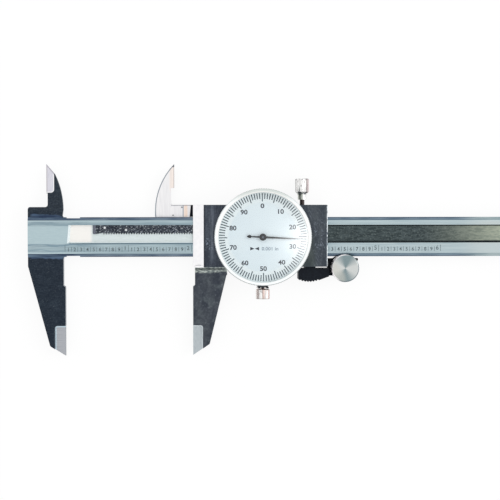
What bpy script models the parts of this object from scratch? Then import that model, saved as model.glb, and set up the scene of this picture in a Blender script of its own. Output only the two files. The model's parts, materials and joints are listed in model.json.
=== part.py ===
"""Dial caliper, six inch, lying on the back cover of its slider.

The origin is the middle of the back cover's outer face, under the dial's centre. +X runs along the beam, the way
the jaws open, +Y points to the inside jaws, and +Z points out of the dial. Everything is in metres.
"""

import math

import bmesh
import bpy
from mathutils import Matrix, Vector

MM = 0.001
INCH = 25.4 * MM

# Jaws and travel
REST_OPENING = 2.026 * INCH
DIAL_FROM_JAW = 27.9 * MM
JAW_DEPTH = 40.0 * MM
JAW_THICKNESS = 3.5 * MM
BLADE_THICKNESS = 1.6 * MM
BLADE_LENGTH = 12.1 * MM
FIXED_BLADE_WIDTH = 4.3 * MM
MOVING_BLADE_WIDTH = 3.9 * MM
FACE_LENGTH = 27.9 * MM
FACE_RELIEF = 0.77 * MM
FIXED_JAW_SHOULDER = 11.7 * MM
FIXED_JAW_KNEE = 6.2 * MM
FIXED_JAW_KNEE_RISE = 3.9 * MM
MOVING_JAW_BACK = 13.8 * MM
MOVING_JAW_SHOULDER = 14.5 * MM
MOVING_JAW_KNEE = 6.7 * MM
MOVING_JAW_KNEE_RISE = 4.5 * MM
INSIDE_JAW_HEIGHT = 21.5 * MM
INSIDE_JAW_BACK = 7.55 * MM
INSIDE_BEVEL_WIDTH = 3.3 * MM
FIXED_EDGE_LENGTH = 11.8 * MM
MOVING_EDGE_LENGTH = 9.7 * MM
MOVING_HORN_BACK = 15.35 * MM
FIXED_HORN_SWEEP = 33.0 * MM
FIXED_TIP_CUT = 4.2 * MM
MOVING_HORN_SWEEP = 27.2 * MM
FIXED_SHELF_RISE = 4.1 * MM
EDGE_THICKNESS = 0.2 * MM

# Beam
BEAM_LENGTH = 236.0 * MM
BEAM_HEIGHT = 16.0 * MM
BEAM_THICKNESS = 4.0 * MM
BEAM_BEHIND_FACE = 14.9 * MM
BEAM_BEVEL_WIDTH = 1.3 * MM
BEAM_BEVEL_DEPTH = 0.5 * MM
BEAM_BACK_CHAMFER = 0.3 * MM
GROOVE_WIDTH = 7.3 * MM
GROOVE_CENTRE = 1.18 * MM
GROOVE_DEPTH = 2.2 * MM
GROOVE_START = 1.5 * MM
GROOVE_SLANT = 0.3 * MM
NOTCH_LENGTH = 5.6 * MM
NOTCH_DEPTH = 0.4 * MM
NOTCH_START = 0.4 * MM

# Slider
COVER_THICKNESS = 1.2 * MM
SLIDER_LENGTH = 54.4 * MM
SLIDER_UP = 12.95 * MM
SLIDER_DOWN = 12.1 * MM
SLIDER_WALL = 2.5 * MM
STRIP_WIDTH = 4.3 * MM
STRIP_DROP = 0.5 * MM
STRIP_FALL = 1.9 * MM
SLIDER_CHAMFER_WIDTH = 0.6 * MM
SLIDER_CHAMFER_DEPTH = 0.35 * MM
GIB_THICKNESS = 0.75 * MM
GIB_LENGTH = 46.0 * MM
GIB_START = 4.2 * MM
GIB_HEIGHT = 3.4 * MM

# Fits between pieces
RUNNING_GAP = 0.1 * MM
BEAM_CLEARANCE = 0.3 * MM
SEAT_GAP = 0.05 * MM

# Depth rod and the plate that stops the slider
ROD_WIDTH = 6.3 * MM
ROD_THICKNESS = 0.8 * MM
ROD_START = 30.0 * MM
ROD_EDGE_GAP = 0.13 * MM
ROD_NOTCH = 1.6 * MM
TONGUE_LENGTH = 23.0 * MM
END_PLATE_LENGTH = 8.0 * MM
END_PLATE_THICKNESS = 0.8 * MM
END_PLATE_INSET = 2.0 * MM

# Rack and gear train
RACK_PITCH = 1.016 * MM
RACK_START = 11.0 * MM
RACK_LENGTH = 167.3 * MM
RACK_MARGIN = 4.0 * MM
RACK_THICKNESS = 1.15 * MM
RACK_PITCH_LINE = 1.34 * MM
RACK_EDGE_GAP = 0.05 * MM
RACK_ADDENDUM = 0.25 * MM
RACK_DEDENDUM = 0.34 * MM
RACK_PINION_TEETH = 10
GEAR_MODULE = 0.25 * MM
DRIVE_TEETH = 48
CENTRE_TEETH = 12
GEAR_ADDENDUM = 0.2 * MM
GEAR_DEDENDUM = 0.3 * MM
PRESSURE_ANGLE = math.radians(25)
BACKLASH = 0.06 * MM
GEAR_THICKNESS = 0.5 * MM
GEAR_SPACE = 0.25 * MM
ARBOR_RADIUS = 0.7 * MM
PIVOT_RADIUS = 0.4 * MM
POST_RADIUS = 1.4 * MM
BRIDGE_THICKNESS = 0.7 * MM
BRIDGE_RISE = 2.5 * MM

# Dial, case and bezel
CASE_RADIUS = 18.5 * MM
CASE_HEIGHT = 3.65 * MM
CASE_WALL = 1.2 * MM
CASE_FLOOR = 0.4 * MM
CASE_FLOOR_WIDTH = 7.5 * MM
CASE_SCREW_INSET = 3.1 * MM
BEZEL_WALL = 0.75 * MM
BEZEL_DROP = 2.6 * MM
BEZEL_RISE = 3.6 * MM
BEZEL_LIP = 1.45 * MM
BEZEL_LIP_THICKNESS = 0.5 * MM
CRYSTAL_THICKNESS = 1.1 * MM
CRYSTAL_DOME = 0.15 * MM
DIAL_THICKNESS = 0.5 * MM
DIAL_HOLE = 1.1 * MM
NEEDLE_EDGE_GAP = 1.3 * MM
NEEDLE_TAIL = 6.6 * MM
NEEDLE_WEIGHT_RADIUS = 0.65 * MM
NEEDLE_HUB_RADIUS = 1.4 * MM
NEEDLE_THICKNESS = 0.25 * MM
NEEDLE_RISE = 0.45 * MM
NEEDLE_READING = 26
DIAL_TURN = math.radians(0.7)

# Lock screws, thumb grip and roller
HEAD_RADIUS = 2.8 * MM
FLUTES = 16
FLUTE_DEPTH = 0.14 * MM
LOCK_FROM_JAW = 44.4 * MM
LOCK_HEAD_HEIGHT = 6.0 * MM
LOCK_HEAD_RISE = 4.65 * MM
LOCK_NECK_RADIUS = 1.75 * MM
LOCK_STEM_RADIUS = 0.95 * MM
PAD_THICKNESS = 0.8 * MM
LUG_WIDTH = 5.0 * MM
LUG_TAPER = 0.5 * MM
LUG_WALL = 0.95 * MM
BEZEL_HEAD_HEIGHT = 3.9 * MM
SHOE_WIDTH = 3.0 * MM
SHOE_THICKNESS = 0.55 * MM
ROLLER_FROM_JAW = 61.5 * MM
ROLLER_RADIUS = 4.65 * MM
ROLLER_THICKNESS = 3.2 * MM
KNOB_RADIUS = 5.6 * MM
KNOB_THICKNESS = 3.4 * MM
AXLE_RADIUS = 0.9 * MM
GRIP_START = 42.7 * MM
GRIP_END = 55.2 * MM
GRIP_TAB_START = 45.3 * MM
GRIP_TAB_END = 49.7 * MM
GRIP_THICKNESS = 4.5 * MM
GRIP_SINK = 5.65 * MM
GRIP_TEETH = 8
GRIP_TOOTH = 0.55 * MM
ARM_THICKNESS = 1.2 * MM
ARM_REACH = 4.8 * MM
ARM_FINGER = 1.3 * MM
ARM_FINGER_WIDTH = 1.0 * MM

# Round resolution
FINE_SEGMENTS = 48
ROUND_SEGMENTS = 24
SMALL_SEGMENTS = 12
TINY_SEGMENTS = 8

# Places worked out from the sizes above
MOVING_FACE_X = -DIAL_FROM_JAW
FIXED_FACE_X = MOVING_FACE_X - REST_OPENING
BEAM_LEFT_X = FIXED_FACE_X - BEAM_BEHIND_FACE
BEAM_RIGHT_X = BEAM_LEFT_X + BEAM_LENGTH
BEAM_TOP = BEAM_HEIGHT / 2
BEAM_BACK_Z = COVER_THICKNESS + BEAM_CLEARANCE
BEAM_FRONT_Z = BEAM_BACK_Z + BEAM_THICKNESS
JAW_FRONT_Z = BEAM_BACK_Z + JAW_THICKNESS
GROOVE_FLOOR_Z = BEAM_FRONT_Z - GROOVE_DEPTH
GROOVE_LOW = GROOVE_CENTRE - GROOVE_WIDTH / 2
GROOVE_HIGH = GROOVE_CENTRE + GROOVE_WIDTH / 2
JAW_TIP_Y = -BEAM_TOP - JAW_DEPTH
INSIDE_TIP_Y = BEAM_TOP + INSIDE_JAW_HEIGHT
MID_Z = (BEAM_BACK_Z + JAW_FRONT_Z) / 2
SLIDER_BACK_Z = COVER_THICKNESS + SEAT_GAP
WALL_BACK_Z = BEAM_FRONT_Z + BEAM_CLEARANCE
WALL_FRONT_Z = WALL_BACK_Z + SLIDER_WALL
SLIDER_RIGHT_X = MOVING_FACE_X + SLIDER_LENGTH
CHANNEL_LOW = -BEAM_TOP - RUNNING_GAP
GIB_LOW = BEAM_TOP + RUNNING_GAP
CHANNEL_HIGH = GIB_LOW + GIB_THICKNESS + RUNNING_GAP
ROD_BACK_Z = BEAM_FRONT_Z - RUNNING_GAP - ROD_THICKNESS
ROD_HIGH = GROOVE_HIGH - ROD_EDGE_GAP
ROD_LOW = ROD_HIGH - ROD_WIDTH
RACK_BACK_Z = GROOVE_FLOOR_Z + SEAT_GAP
RACK_FRONT_Z = RACK_BACK_Z + RACK_THICKNESS
RACK_PINION_RADIUS = RACK_PITCH * RACK_PINION_TEETH / math.tau
CENTRE_DISTANCE = GEAR_MODULE * (DRIVE_TEETH + CENTRE_TEETH) / 2
GEAR_Y = RACK_PITCH_LINE - RACK_PINION_RADIUS
GEAR_X = -math.sqrt(CENTRE_DISTANCE ** 2 - GEAR_Y ** 2)
CASE_BACK_Z = WALL_FRONT_Z + SEAT_GAP
CASE_FRONT_Z = CASE_BACK_Z + CASE_HEIGHT
DRIVE_BACK_Z = CASE_BACK_Z + CASE_FLOOR + GEAR_SPACE / 2
TAKEUP_BACK_Z = DRIVE_BACK_Z + GEAR_THICKNESS + GEAR_SPACE
TAKEUP_FRONT_Z = TAKEUP_BACK_Z + GEAR_THICKNESS
BRIDGE_BACK_Z = WALL_FRONT_Z + BRIDGE_RISE
BRIDGE_FRONT_Z = BRIDGE_BACK_Z + BRIDGE_THICKNESS
DIAL_BACK_Z = CASE_FRONT_Z + RUNNING_GAP + SEAT_GAP
DIAL_FRONT_Z = DIAL_BACK_Z + DIAL_THICKNESS
BEZEL_SKIRT = CASE_RADIUS + RUNNING_GAP
BEZEL_RADIUS = BEZEL_SKIRT + BEZEL_WALL
BEZEL_FRONT_Z = CASE_FRONT_Z + BEZEL_RISE
BEZEL_BACK_Z = CASE_FRONT_Z - BEZEL_DROP
CRYSTAL_FRONT_Z = BEZEL_FRONT_Z - BEZEL_LIP_THICKNESS - SEAT_GAP
CRYSTAL_BACK_Z = CRYSTAL_FRONT_Z - CRYSTAL_THICKNESS
NEEDLE_BACK_Z = DIAL_FRONT_Z + NEEDLE_RISE
NEEDLE_TIP = CASE_RADIUS - NEEDLE_EDGE_GAP
NEEDLE_ANGLE = math.pi / 2 + DIAL_TURN - math.tau * NEEDLE_READING / 100
LOCK_X = MOVING_FACE_X + LOCK_FROM_JAW
LOCK_Z = (BEAM_BACK_Z + BEAM_FRONT_Z) / 2 + 0.1 * MM
ROLLER_X = MOVING_FACE_X + ROLLER_FROM_JAW
ROLLER_Y = -BEAM_TOP - ROLLER_RADIUS - SEAT_GAP
ROLLER_BACK_Z = 2.0 * MM
KNOB_BACK_Z = BEAM_FRONT_Z + BEAM_CLEARANCE
GRIP_TOP = -SLIDER_DOWN - 0.65 * MM
GRIP_BACK_Z = 0.5 * MM

ALONG_X = Matrix(((0, 0, 1, 0), (1, 0, 0, 0), (0, 1, 0, 0), (0, 0, 0, 1)))
ALONG_Y = Matrix(((0, 1, 0, 0), (0, 0, 1, 0), (1, 0, 0, 0), (0, 0, 0, 1)))


# Modelling helpers

def make_material(name, colour, roughness, metallic):
    """A Principled material with one plain colour."""
    material = bpy.data.materials.new(name)
    material.use_nodes = True
    shader = material.node_tree.nodes["Principled BSDF"]
    shader.inputs["Base Color"].default_value = (*colour, 1)
    shader.inputs["Roughness"].default_value = roughness
    shader.inputs["Metallic"].default_value = metallic
    material.diffuse_color = (*colour, 1)
    return material


def empty(name, at, parent=None):
    """An empty on a joint's axis, for the pieces that move with it."""
    holder = bpy.data.objects.new(name, None)
    holder.location = at
    holder.parent = parent
    bpy.context.collection.objects.link(holder)
    return holder


def add_object(name, shape, material, parent, at):
    """Turns a bmesh into a smooth-shaded object with its material."""
    bmesh.ops.recalc_face_normals(shape, faces=shape.faces)
    mesh = bpy.data.meshes.new(name)
    shape.to_mesh(mesh)
    shape.free()
    mesh.shade_smooth()
    mesh.set_sharp_from_angle(angle=math.radians(35))
    if material:
        mesh.materials.append(material)
    piece = bpy.data.objects.new(name, mesh)
    piece.parent = parent
    piece.location = at
    bpy.context.collection.objects.link(piece)
    return piece


def prism(name, outline, low, high, material=None, parent=None, at=(0, 0, 0), turn=None):
    """An outline extruded from low to high along Z, or along the axis that turn gives."""
    shape = bmesh.new()
    base = shape.faces.new([shape.verts.new((x, y, low)) for x, y in outline])
    extruded = bmesh.ops.extrude_face_region(shape, geom=[base])["geom"]
    raised = [item for item in extruded if isinstance(item, bmesh.types.BMVert)]
    bmesh.ops.translate(shape, verts=raised, vec=(0, 0, high - low))
    if turn:
        bmesh.ops.transform(shape, matrix=turn, verts=shape.verts)
    return add_object(name, shape, material, parent, at)


def turned(name, section, material=None, parent=None, at=(0, 0, 0), turn=None, faces=ROUND_SEGMENTS):
    """A section of (radius, height) points spun about Z; one that starts on the axis also ends there."""
    shape = bmesh.new()
    points = [shape.verts.new((radius, 0, height)) for radius, height in section]
    lines = [shape.edges.new(pair) for pair in zip(points, points[1:])]
    if section[0][0] > 0:
        lines.append(shape.edges.new((points[-1], points[0])))
    bmesh.ops.spin(
        shape, geom=points + lines, cent=(0, 0, 0), axis=(0, 0, 1), angle=math.tau, steps=faces, use_merge=True
    )
    bmesh.ops.remove_doubles(shape, verts=shape.verts, dist=1e-7)
    if turn:
        bmesh.ops.transform(shape, matrix=turn, verts=shape.verts)
    return add_object(name, shape, material, parent, at)


def lofted(name, rings, material=None, parent=None, at=(0, 0, 0), turn=None):
    """A skin over closed rings of points, capped at the first and the last ring."""
    shape = bmesh.new()
    loops = [[shape.verts.new(point) for point in ring] for ring in rings]
    shape.faces.new(loops[0])
    shape.faces.new(loops[-1])
    for lower, upper in zip(loops, loops[1:]):
        for index in range(len(lower)):
            shape.faces.new((lower[index - 1], lower[index], upper[index], upper[index - 1]))
    if turn:
        bmesh.ops.transform(shape, matrix=turn, verts=shape.verts)
    return add_object(name, shape, material, parent, at)


def combine(target, other, operation):
    """Cuts, joins or trims target with another object, which is then only a guide."""
    other.hide_render = True
    other.display_type = "WIRE"
    step = target.modifiers.new(other.name, "BOOLEAN")
    step.operation = operation
    step.solver = "EXACT"
    step.object = other


def cut(target, other):
    combine(target, other, "DIFFERENCE")


def join(target, other):
    combine(target, other, "UNION")


def box_outline(left, right, low, high):
    return [(left, low), (right, low), (right, high), (left, high)]


def circle_outline(x, y, radius, faces):
    angles = [math.tau * step / faces for step in range(faces)]
    return [(x + radius * math.cos(a), y + radius * math.sin(a)) for a in angles]


def arc(x, y, radius, start, end, steps):
    """Points on an arc between two angles in degrees."""
    angles = [math.radians(start + (end - start) * step / steps) for step in range(steps + 1)]
    return [(x + radius * math.cos(a), y + radius * math.sin(a)) for a in angles]


def rounded_outline(corners, steps=3):
    """An outline of (x, y, radius) corners, each radius worked into an arc."""
    outline = []
    for index, (x, y, radius) in enumerate(corners):
        here = Vector((x, y))
        if radius == 0:
            outline.append((x, y))
            continue
        before = (Vector(corners[index - 1][:2]) - here).normalized()
        after = (Vector(corners[(index + 1) % len(corners)][:2]) - here).normalized()
        half = before.angle(after) / 2
        centre = here + (before + after).normalized() * radius / math.sin(half)
        start = here + before * radius / math.tan(half) - centre
        end = here + after * radius / math.tan(half) - centre
        first = math.atan2(start.y, start.x)
        sweep = (math.atan2(end.y, end.x) - first + math.pi) % math.tau - math.pi
        for step in range(steps + 1):
            angle = first + sweep * step / steps
            outline.append((centre.x + radius * math.cos(angle), centre.y + radius * math.sin(angle)))
    return outline


def hole(target, name, x, y, radius, low, high, faces=SMALL_SEGMENTS):
    """A round hole along Z."""
    cutter = prism(name, circle_outline(x, y, radius, faces), low, high, parent=target.parent)
    cut(target, cutter)


def screw(name, x, y, seat, head_radius, head_height, shank_radius, shank_length, material, parent, down=True):
    """A slotted screw along Z whose head rests on seat, with its shank going down, or up from the back."""
    side = 1 if down else -1
    section = [
        (0, seat - side * shank_length),
        (shank_radius, seat - side * shank_length),
        (shank_radius, seat),
        (head_radius, seat),
        (head_radius, seat + side * head_height),
        (0, seat + side * head_height),
    ]
    body = turned(name, section, material, parent, at=(x, y, 0), faces=TINY_SEGMENTS)
    slot_low = seat + side * head_height * 0.5
    slot_high = seat + side * head_height * 1.5
    half_slot = head_radius * 0.14
    outline = box_outline(-head_radius * 1.5, head_radius * 1.5, -half_slot, half_slot)
    heights = sorted((slot_low, slot_high))
    cut(body, prism(name + "_slot", outline, *heights, parent=parent, at=(x, y, 0)))
    return body


def screw_hole(target, name, x, y, seat, head_radius, shank_radius, reach, mouth):
    """A stepped hole along Z: the shank's part down to reach, the head's part from seat out past mouth."""
    section = [
        (0, reach),
        (shank_radius + SEAT_GAP, reach),
        (shank_radius + SEAT_GAP, seat),
        (head_radius + SEAT_GAP, seat),
        (head_radius + SEAT_GAP, mouth),
        (0, mouth),
    ]
    cut(target, turned(name, section, parent=target.parent, at=(x, y, 0), faces=TINY_SEGMENTS))


# Materials

def make_materials():
    return {
        "beam_steel": make_material("beam_steel", (0.42, 0.48, 0.51), 0.34, 1.0),
        "slider_steel": make_material("slider_steel", (0.075, 0.085, 0.1), 0.38, 1.0),
        "rack_steel": make_material("rack_steel", (0.09, 0.1, 0.115), 0.4, 1.0),
        "rod_steel": make_material("rod_steel", (0.075, 0.09, 0.095), 0.36, 1.0),
        "nickel": make_material("nickel", (0.66, 0.65, 0.63), 0.2, 1.0),
        "brass": make_material("brass", (0.62, 0.45, 0.18), 0.3, 1.0),
        "gear_steel": make_material("gear_steel", (0.5, 0.5, 0.49), 0.28, 1.0),
        "screw_steel": make_material("screw_steel", (0.34, 0.35, 0.36), 0.3, 1.0),
        "dial_paint": make_material("dial_paint", (0.8, 0.86, 0.9), 0.45, 0.0),
        "needle_paint": make_material("needle_paint", (0.015, 0.016, 0.018), 0.35, 0.0),
        "bezel_plastic": make_material("bezel_plastic", (0.76, 0.8, 0.82), 0.25, 0.0),
        "crystal_glass": make_material("crystal_glass", (0.9, 0.94, 0.96), 0.05, 0.0),
        "black_plastic": make_material("black_plastic", (0.012, 0.014, 0.018), 0.42, 0.0),
    }


# Beam with its fixed jaws

def beam_section():
    """The bar's section as (y, z): front edges bevelled wide, back edges just broken."""
    edge = BEAM_TOP - BEAM_BACK_CHAMFER
    land = BEAM_TOP - BEAM_BEVEL_WIDTH
    back = BEAM_BACK_Z + BEAM_BACK_CHAMFER
    shoulder = BEAM_FRONT_Z - BEAM_BEVEL_DEPTH
    return [
        (-edge, BEAM_BACK_Z),
        (edge, BEAM_BACK_Z),
        (BEAM_TOP, back),
        (BEAM_TOP, shoulder),
        (land, BEAM_FRONT_Z),
        (-land, BEAM_FRONT_Z),
        (-BEAM_TOP, shoulder),
        (-BEAM_TOP, back),
    ]


def outside_jaw_outline(face_x, side, back, shoulder, knee, knee_rise, root_y):
    """An outside jaw seen from the front, on the side of its measuring face that side gives."""
    face_top = JAW_TIP_Y + FACE_LENGTH
    relief_x = face_x + side * FACE_RELIEF
    return rounded_outline([
        (face_x + side * back, root_y, 0),
        (face_x + side * back, -shoulder, 0),
        (face_x + side * knee, JAW_TIP_Y + knee_rise, 1.0 * MM),
        (face_x, JAW_TIP_Y, 0),
        (face_x, face_top, 0),
        (relief_x, face_top + 0.5 * MM, 0),
        (relief_x, root_y, 0),
    ])


def blade_cutters(owner, name, face_x, width, side, parent):
    """Thins the jaw's tip on both faces to a narrow blade."""
    top = JAW_TIP_Y + BLADE_LENGTH
    past = 2.0 * MM
    outline = rounded_outline([
        (face_x + side * width, top, 0.8 * MM),
        (face_x + side * width, JAW_TIP_Y - past, 0),
        (face_x - side * past, JAW_TIP_Y - past, 0),
        (face_x - side * past, top, 0),
    ])
    front = MID_Z + BLADE_THICKNESS / 2
    back = MID_Z - BLADE_THICKNESS / 2
    cut(owner, prism(name + "_front", outline, front, JAW_FRONT_Z + past, parent=parent))
    cut(owner, prism(name + "_back", outline, back - past, back, parent=parent))


def fixed_inside_jaw_outline():
    """The fixed inside jaw: a horn with its measuring edge towards -X, on a shelf above the beam."""
    x = FIXED_FACE_X
    edge = x - INSIDE_JAW_BACK
    shelf = BEAM_TOP + FIXED_SHELF_RISE
    step = edge + 0.65 * MM
    step_y = INSIDE_TIP_Y - FIXED_EDGE_LENGTH
    root_x = x - 0.69 * MM
    sweep_y = BEAM_TOP + 3.0 * MM
    sweep_x = root_x - FIXED_HORN_SWEEP
    tip_angle = math.degrees(math.asin((INSIDE_TIP_Y - FIXED_TIP_CUT - sweep_y) / FIXED_HORN_SWEEP))
    horn = arc(sweep_x, sweep_y, FIXED_HORN_SWEEP, 0, tip_angle, 8)
    foot = rounded_outline([
        (edge, INSIDE_TIP_Y, 0),
        (edge, step_y, 0),
        (step, step_y, 0),
        (step, shelf, 1.0 * MM),
        (BEAM_LEFT_X, shelf, 0.9 * MM),
        (BEAM_LEFT_X, BEAM_TOP - BEAM_BEVEL_WIDTH, 0),
        (x + 3.0 * MM, BEAM_TOP - BEAM_BEVEL_WIDTH, 0),
        (x + 3.0 * MM, BEAM_TOP - NOTCH_DEPTH, 0),
        (root_x, BEAM_TOP - NOTCH_DEPTH, 1.5 * MM),
    ])
    return foot + horn


def edge_bevel(owner, name, edge_x, side, low_z, high_z, front, parent):
    """Grinds one face of an inside jaw down to its measuring edge."""
    flat = high_z if front else low_z
    knife = low_z + EDGE_THICKNESS if front else high_z - EDGE_THICKNESS
    away = 1.0 * MM if front else -1.0 * MM
    slope = (flat - knife) / INSIDE_BEVEL_WIDTH
    past = 1.0 * MM
    section = [
        (flat + slope * past, edge_x + side * (INSIDE_BEVEL_WIDTH + past)),
        (knife - slope * past, edge_x - side * past),
        (flat + away, edge_x - side * past),
        (flat + away, edge_x + side * (INSIDE_BEVEL_WIDTH + past)),
    ]
    low_y = INSIDE_TIP_Y - FIXED_EDGE_LENGTH
    cut(owner, prism(name, section, low_y, INSIDE_TIP_Y + past, turn=ALONG_Y, parent=parent))


def make_beam(materials):
    beam = prism("beam", beam_section(), BEAM_LEFT_X, BEAM_RIGHT_X, materials["beam_steel"], turn=ALONG_X)
    past = 2.0 * MM
    groove = [
        (FIXED_FACE_X + GROOVE_START - GROOVE_SLANT, GROOVE_LOW),
        (BEAM_RIGHT_X + past, GROOVE_LOW),
        (BEAM_RIGHT_X + past, GROOVE_HIGH),
        (FIXED_FACE_X + GROOVE_START + GROOVE_SLANT, GROOVE_HIGH),
    ]
    cut(beam, prism("groove_cut", groove, GROOVE_FLOOR_Z, BEAM_FRONT_Z + past))
    notch_left = FIXED_FACE_X + NOTCH_START
    for name, side in (("notch_cut_top", 1), ("notch_cut_bottom", -1)):
        inner = side * (BEAM_TOP - NOTCH_DEPTH)
        outer = side * (BEAM_TOP + past)
        notch = box_outline(notch_left, notch_left + NOTCH_LENGTH, min(inner, outer), max(inner, outer))
        cut(beam, prism(name, notch, BEAM_BACK_Z - past, BEAM_FRONT_Z + past))
    lower = outside_jaw_outline(
        FIXED_FACE_X, -1, BEAM_BEHIND_FACE, FIXED_JAW_SHOULDER, FIXED_JAW_KNEE, FIXED_JAW_KNEE_RISE,
        -BEAM_TOP + BEAM_BEVEL_WIDTH,
    )
    join(beam, prism("fixed_outside_jaw", lower, BEAM_BACK_Z, JAW_FRONT_Z))
    corner = rounded_outline([
        (FIXED_FACE_X - FACE_RELIEF - 1.0 * MM, -BEAM_TOP + BEAM_BEVEL_WIDTH, 0),
        (FIXED_FACE_X - FACE_RELIEF - 1.0 * MM, -BEAM_TOP - 3.0 * MM, 0),
        (FIXED_FACE_X - FACE_RELIEF, -BEAM_TOP - 3.0 * MM, 0),
        (FIXED_FACE_X - FACE_RELIEF, -BEAM_TOP + NOTCH_DEPTH, 1.2 * MM),
        (FIXED_FACE_X + 3.0 * MM, -BEAM_TOP + NOTCH_DEPTH, 0),
        (FIXED_FACE_X + 3.0 * MM, -BEAM_TOP + BEAM_BEVEL_WIDTH, 0),
    ])
    join(beam, prism("fixed_jaw_corner", corner, BEAM_BACK_Z, JAW_FRONT_Z))
    join(beam, prism("fixed_inside_jaw", fixed_inside_jaw_outline(), MID_Z + SEAT_GAP, JAW_FRONT_Z))
    blade_cutters(beam, "fixed_blade", FIXED_FACE_X, FIXED_BLADE_WIDTH, -1, None)
    edge = FIXED_FACE_X - INSIDE_JAW_BACK
    edge_bevel(beam, "fixed_edge_bevel", edge, 1, MID_Z + SEAT_GAP, JAW_FRONT_Z, True, None)
    return beam


# Rack, its screws and the end plate

def rack_tooth_centres():
    """Where the rack's teeth stand along X."""
    room = RACK_LENGTH - 2 * RACK_MARGIN
    count = int(room / RACK_PITCH)
    first = FIXED_FACE_X + RACK_START + RACK_MARGIN + RACK_PITCH / 2
    return [first + index * RACK_PITCH for index in range(count)]


def rack_outline():
    """The rack seen from the front: straight-sided teeth along its lower edge."""
    left = FIXED_FACE_X + RACK_START
    right = left + RACK_LENGTH
    high = GROOVE_HIGH - RACK_EDGE_GAP
    tip_y = RACK_PITCH_LINE - RACK_ADDENDUM
    root_y = RACK_PITCH_LINE + RACK_DEDENDUM
    half = (RACK_PITCH / 2 - BACKLASH) / 2
    slope = math.tan(PRESSURE_ANGLE)
    outline = rounded_outline([(right, tip_y, 0), (right, high, 0), (left, high, 0), (left, tip_y, 0.5 * MM)])
    for centre in rack_tooth_centres():
        outline.append((centre - half - slope * RACK_DEDENDUM, root_y))
        outline.append((centre - half + slope * RACK_ADDENDUM, tip_y))
        outline.append((centre + half - slope * RACK_ADDENDUM, tip_y))
        outline.append((centre + half + slope * RACK_DEDENDUM, root_y))
    outline.append((right - RACK_MARGIN / 2, root_y))
    return outline


RACK_SCREWS = [
    (5.2 * MM, 0.45 * MM),
    (13.8 * MM, -0.1 * MM),
    (RACK_LENGTH / 2, 0.15 * MM),
    (RACK_LENGTH - 7.3 * MM, 0.15 * MM),
]


def make_rack(beam, materials):
    rack = prism("rack", rack_outline(), RACK_BACK_Z, RACK_FRONT_Z, materials["rack_steel"])
    middle = (RACK_PITCH_LINE + RACK_DEDENDUM + GROOVE_HIGH) / 2
    head = 0.85 * MM
    shank = 0.5 * MM
    seat = RACK_BACK_Z + RACK_THICKNESS * 0.5
    head_height = RACK_FRONT_Z - seat - SEAT_GAP
    depth = 1.6 * MM
    for index, (along, aside) in enumerate(RACK_SCREWS, start=1):
        x = FIXED_FACE_X + RACK_START + along
        y = middle + aside
        screw_hole(rack, f"rack_hole_{index}", x, y, seat, head, shank, RACK_BACK_Z - MM, RACK_FRONT_Z + MM)
        foot = seat - depth - SEAT_GAP
        hole(beam, f"beam_rack_hole_{index}", x, y, shank + SEAT_GAP, foot, GROOVE_FLOOR_Z + MM, TINY_SEGMENTS)
        screw(
            f"rack_screw_{index}", x, y, seat + SEAT_GAP / 2, head, head_height, shank, depth,
            materials["nickel"], None,
        )


def make_end_plate(beam, materials):
    right = BEAM_RIGHT_X - END_PLATE_INSET
    left = right - END_PLATE_LENGTH
    reach = BEAM_TOP - BEAM_BEVEL_WIDTH
    low = BEAM_FRONT_Z + SEAT_GAP
    high = low + END_PLATE_THICKNESS
    radius = 0.9 * MM
    outline = rounded_outline([
        (left, -reach, radius), (right, -reach, radius), (right, reach, radius), (left, reach, radius)
    ])
    plate = prism("end_plate", outline, low, high, materials["screw_steel"])
    head = 0.75 * MM
    shank = 0.45 * MM
    seat = low + END_PLATE_THICKNESS * 0.4
    depth = 2.4 * MM
    x = (left + right) / 2
    for index, y in enumerate(((GROOVE_HIGH + reach) / 2, (GROOVE_LOW - reach) / 2), start=1):
        screw_hole(plate, f"end_plate_hole_{index}", x, y, seat, head, shank, low - MM, high + MM)
        foot = seat - depth - SEAT_GAP
        hole(beam, f"beam_end_hole_{index}", x, y, shank + SEAT_GAP, foot, BEAM_FRONT_Z + MM, TINY_SEGMENTS)
        screw(
            f"end_plate_screw_{index}", x, y, seat + SEAT_GAP / 2, head, high - seat - SEAT_GAP, shank, depth,
            materials["screw_steel"], None,
        )


# Slider with the moving jaws

def moving_inside_jaw_outline():
    """The moving inside jaw: a horn with its measuring edge towards +X, behind the fixed one."""
    x = MOVING_FACE_X
    edge = x - INSIDE_JAW_BACK
    step = edge - 1.35 * MM
    step_y = INSIDE_TIP_Y - MOVING_EDGE_LENGTH
    horn_x = x - MOVING_HORN_BACK
    sweep_y = BEAM_TOP + 2.5 * MM
    sweep_x = horn_x + MOVING_HORN_SWEEP
    tip_angle = math.degrees(math.asin((INSIDE_TIP_Y - sweep_y) / MOVING_HORN_SWEEP))
    horn = arc(sweep_x, sweep_y, MOVING_HORN_SWEEP, 180 - tip_angle, 180, 8)
    foot = rounded_outline([
        (horn_x, GIB_LOW, 0),
        (x + 2.0 * MM, GIB_LOW, 0),
        (x + 2.0 * MM, SLIDER_UP, 0),
        (step, SLIDER_UP, 0.8 * MM),
        (step, step_y, 0),
        (edge, step_y, 0),
        (edge, INSIDE_TIP_Y, 0),
    ])
    return foot + horn[1:]


def strip_bevel(frame, parent):
    """Slopes the reading strip down to the left, to just above the beam's scale."""
    past = 2.0 * MM
    near = WALL_FRONT_Z - STRIP_DROP
    far = near - STRIP_FALL
    slope = STRIP_FALL / STRIP_WIDTH
    section = [
        (near, MOVING_FACE_X + STRIP_WIDTH),
        (WALL_FRONT_Z + past, MOVING_FACE_X + STRIP_WIDTH),
        (WALL_FRONT_Z + past, MOVING_FACE_X - past),
        (far - slope * past, MOVING_FACE_X - past),
    ]
    cut(frame, prism("strip_bevel", section, -SLIDER_DOWN - past, SLIDER_UP + past, turn=ALONG_Y, parent=parent))


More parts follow.
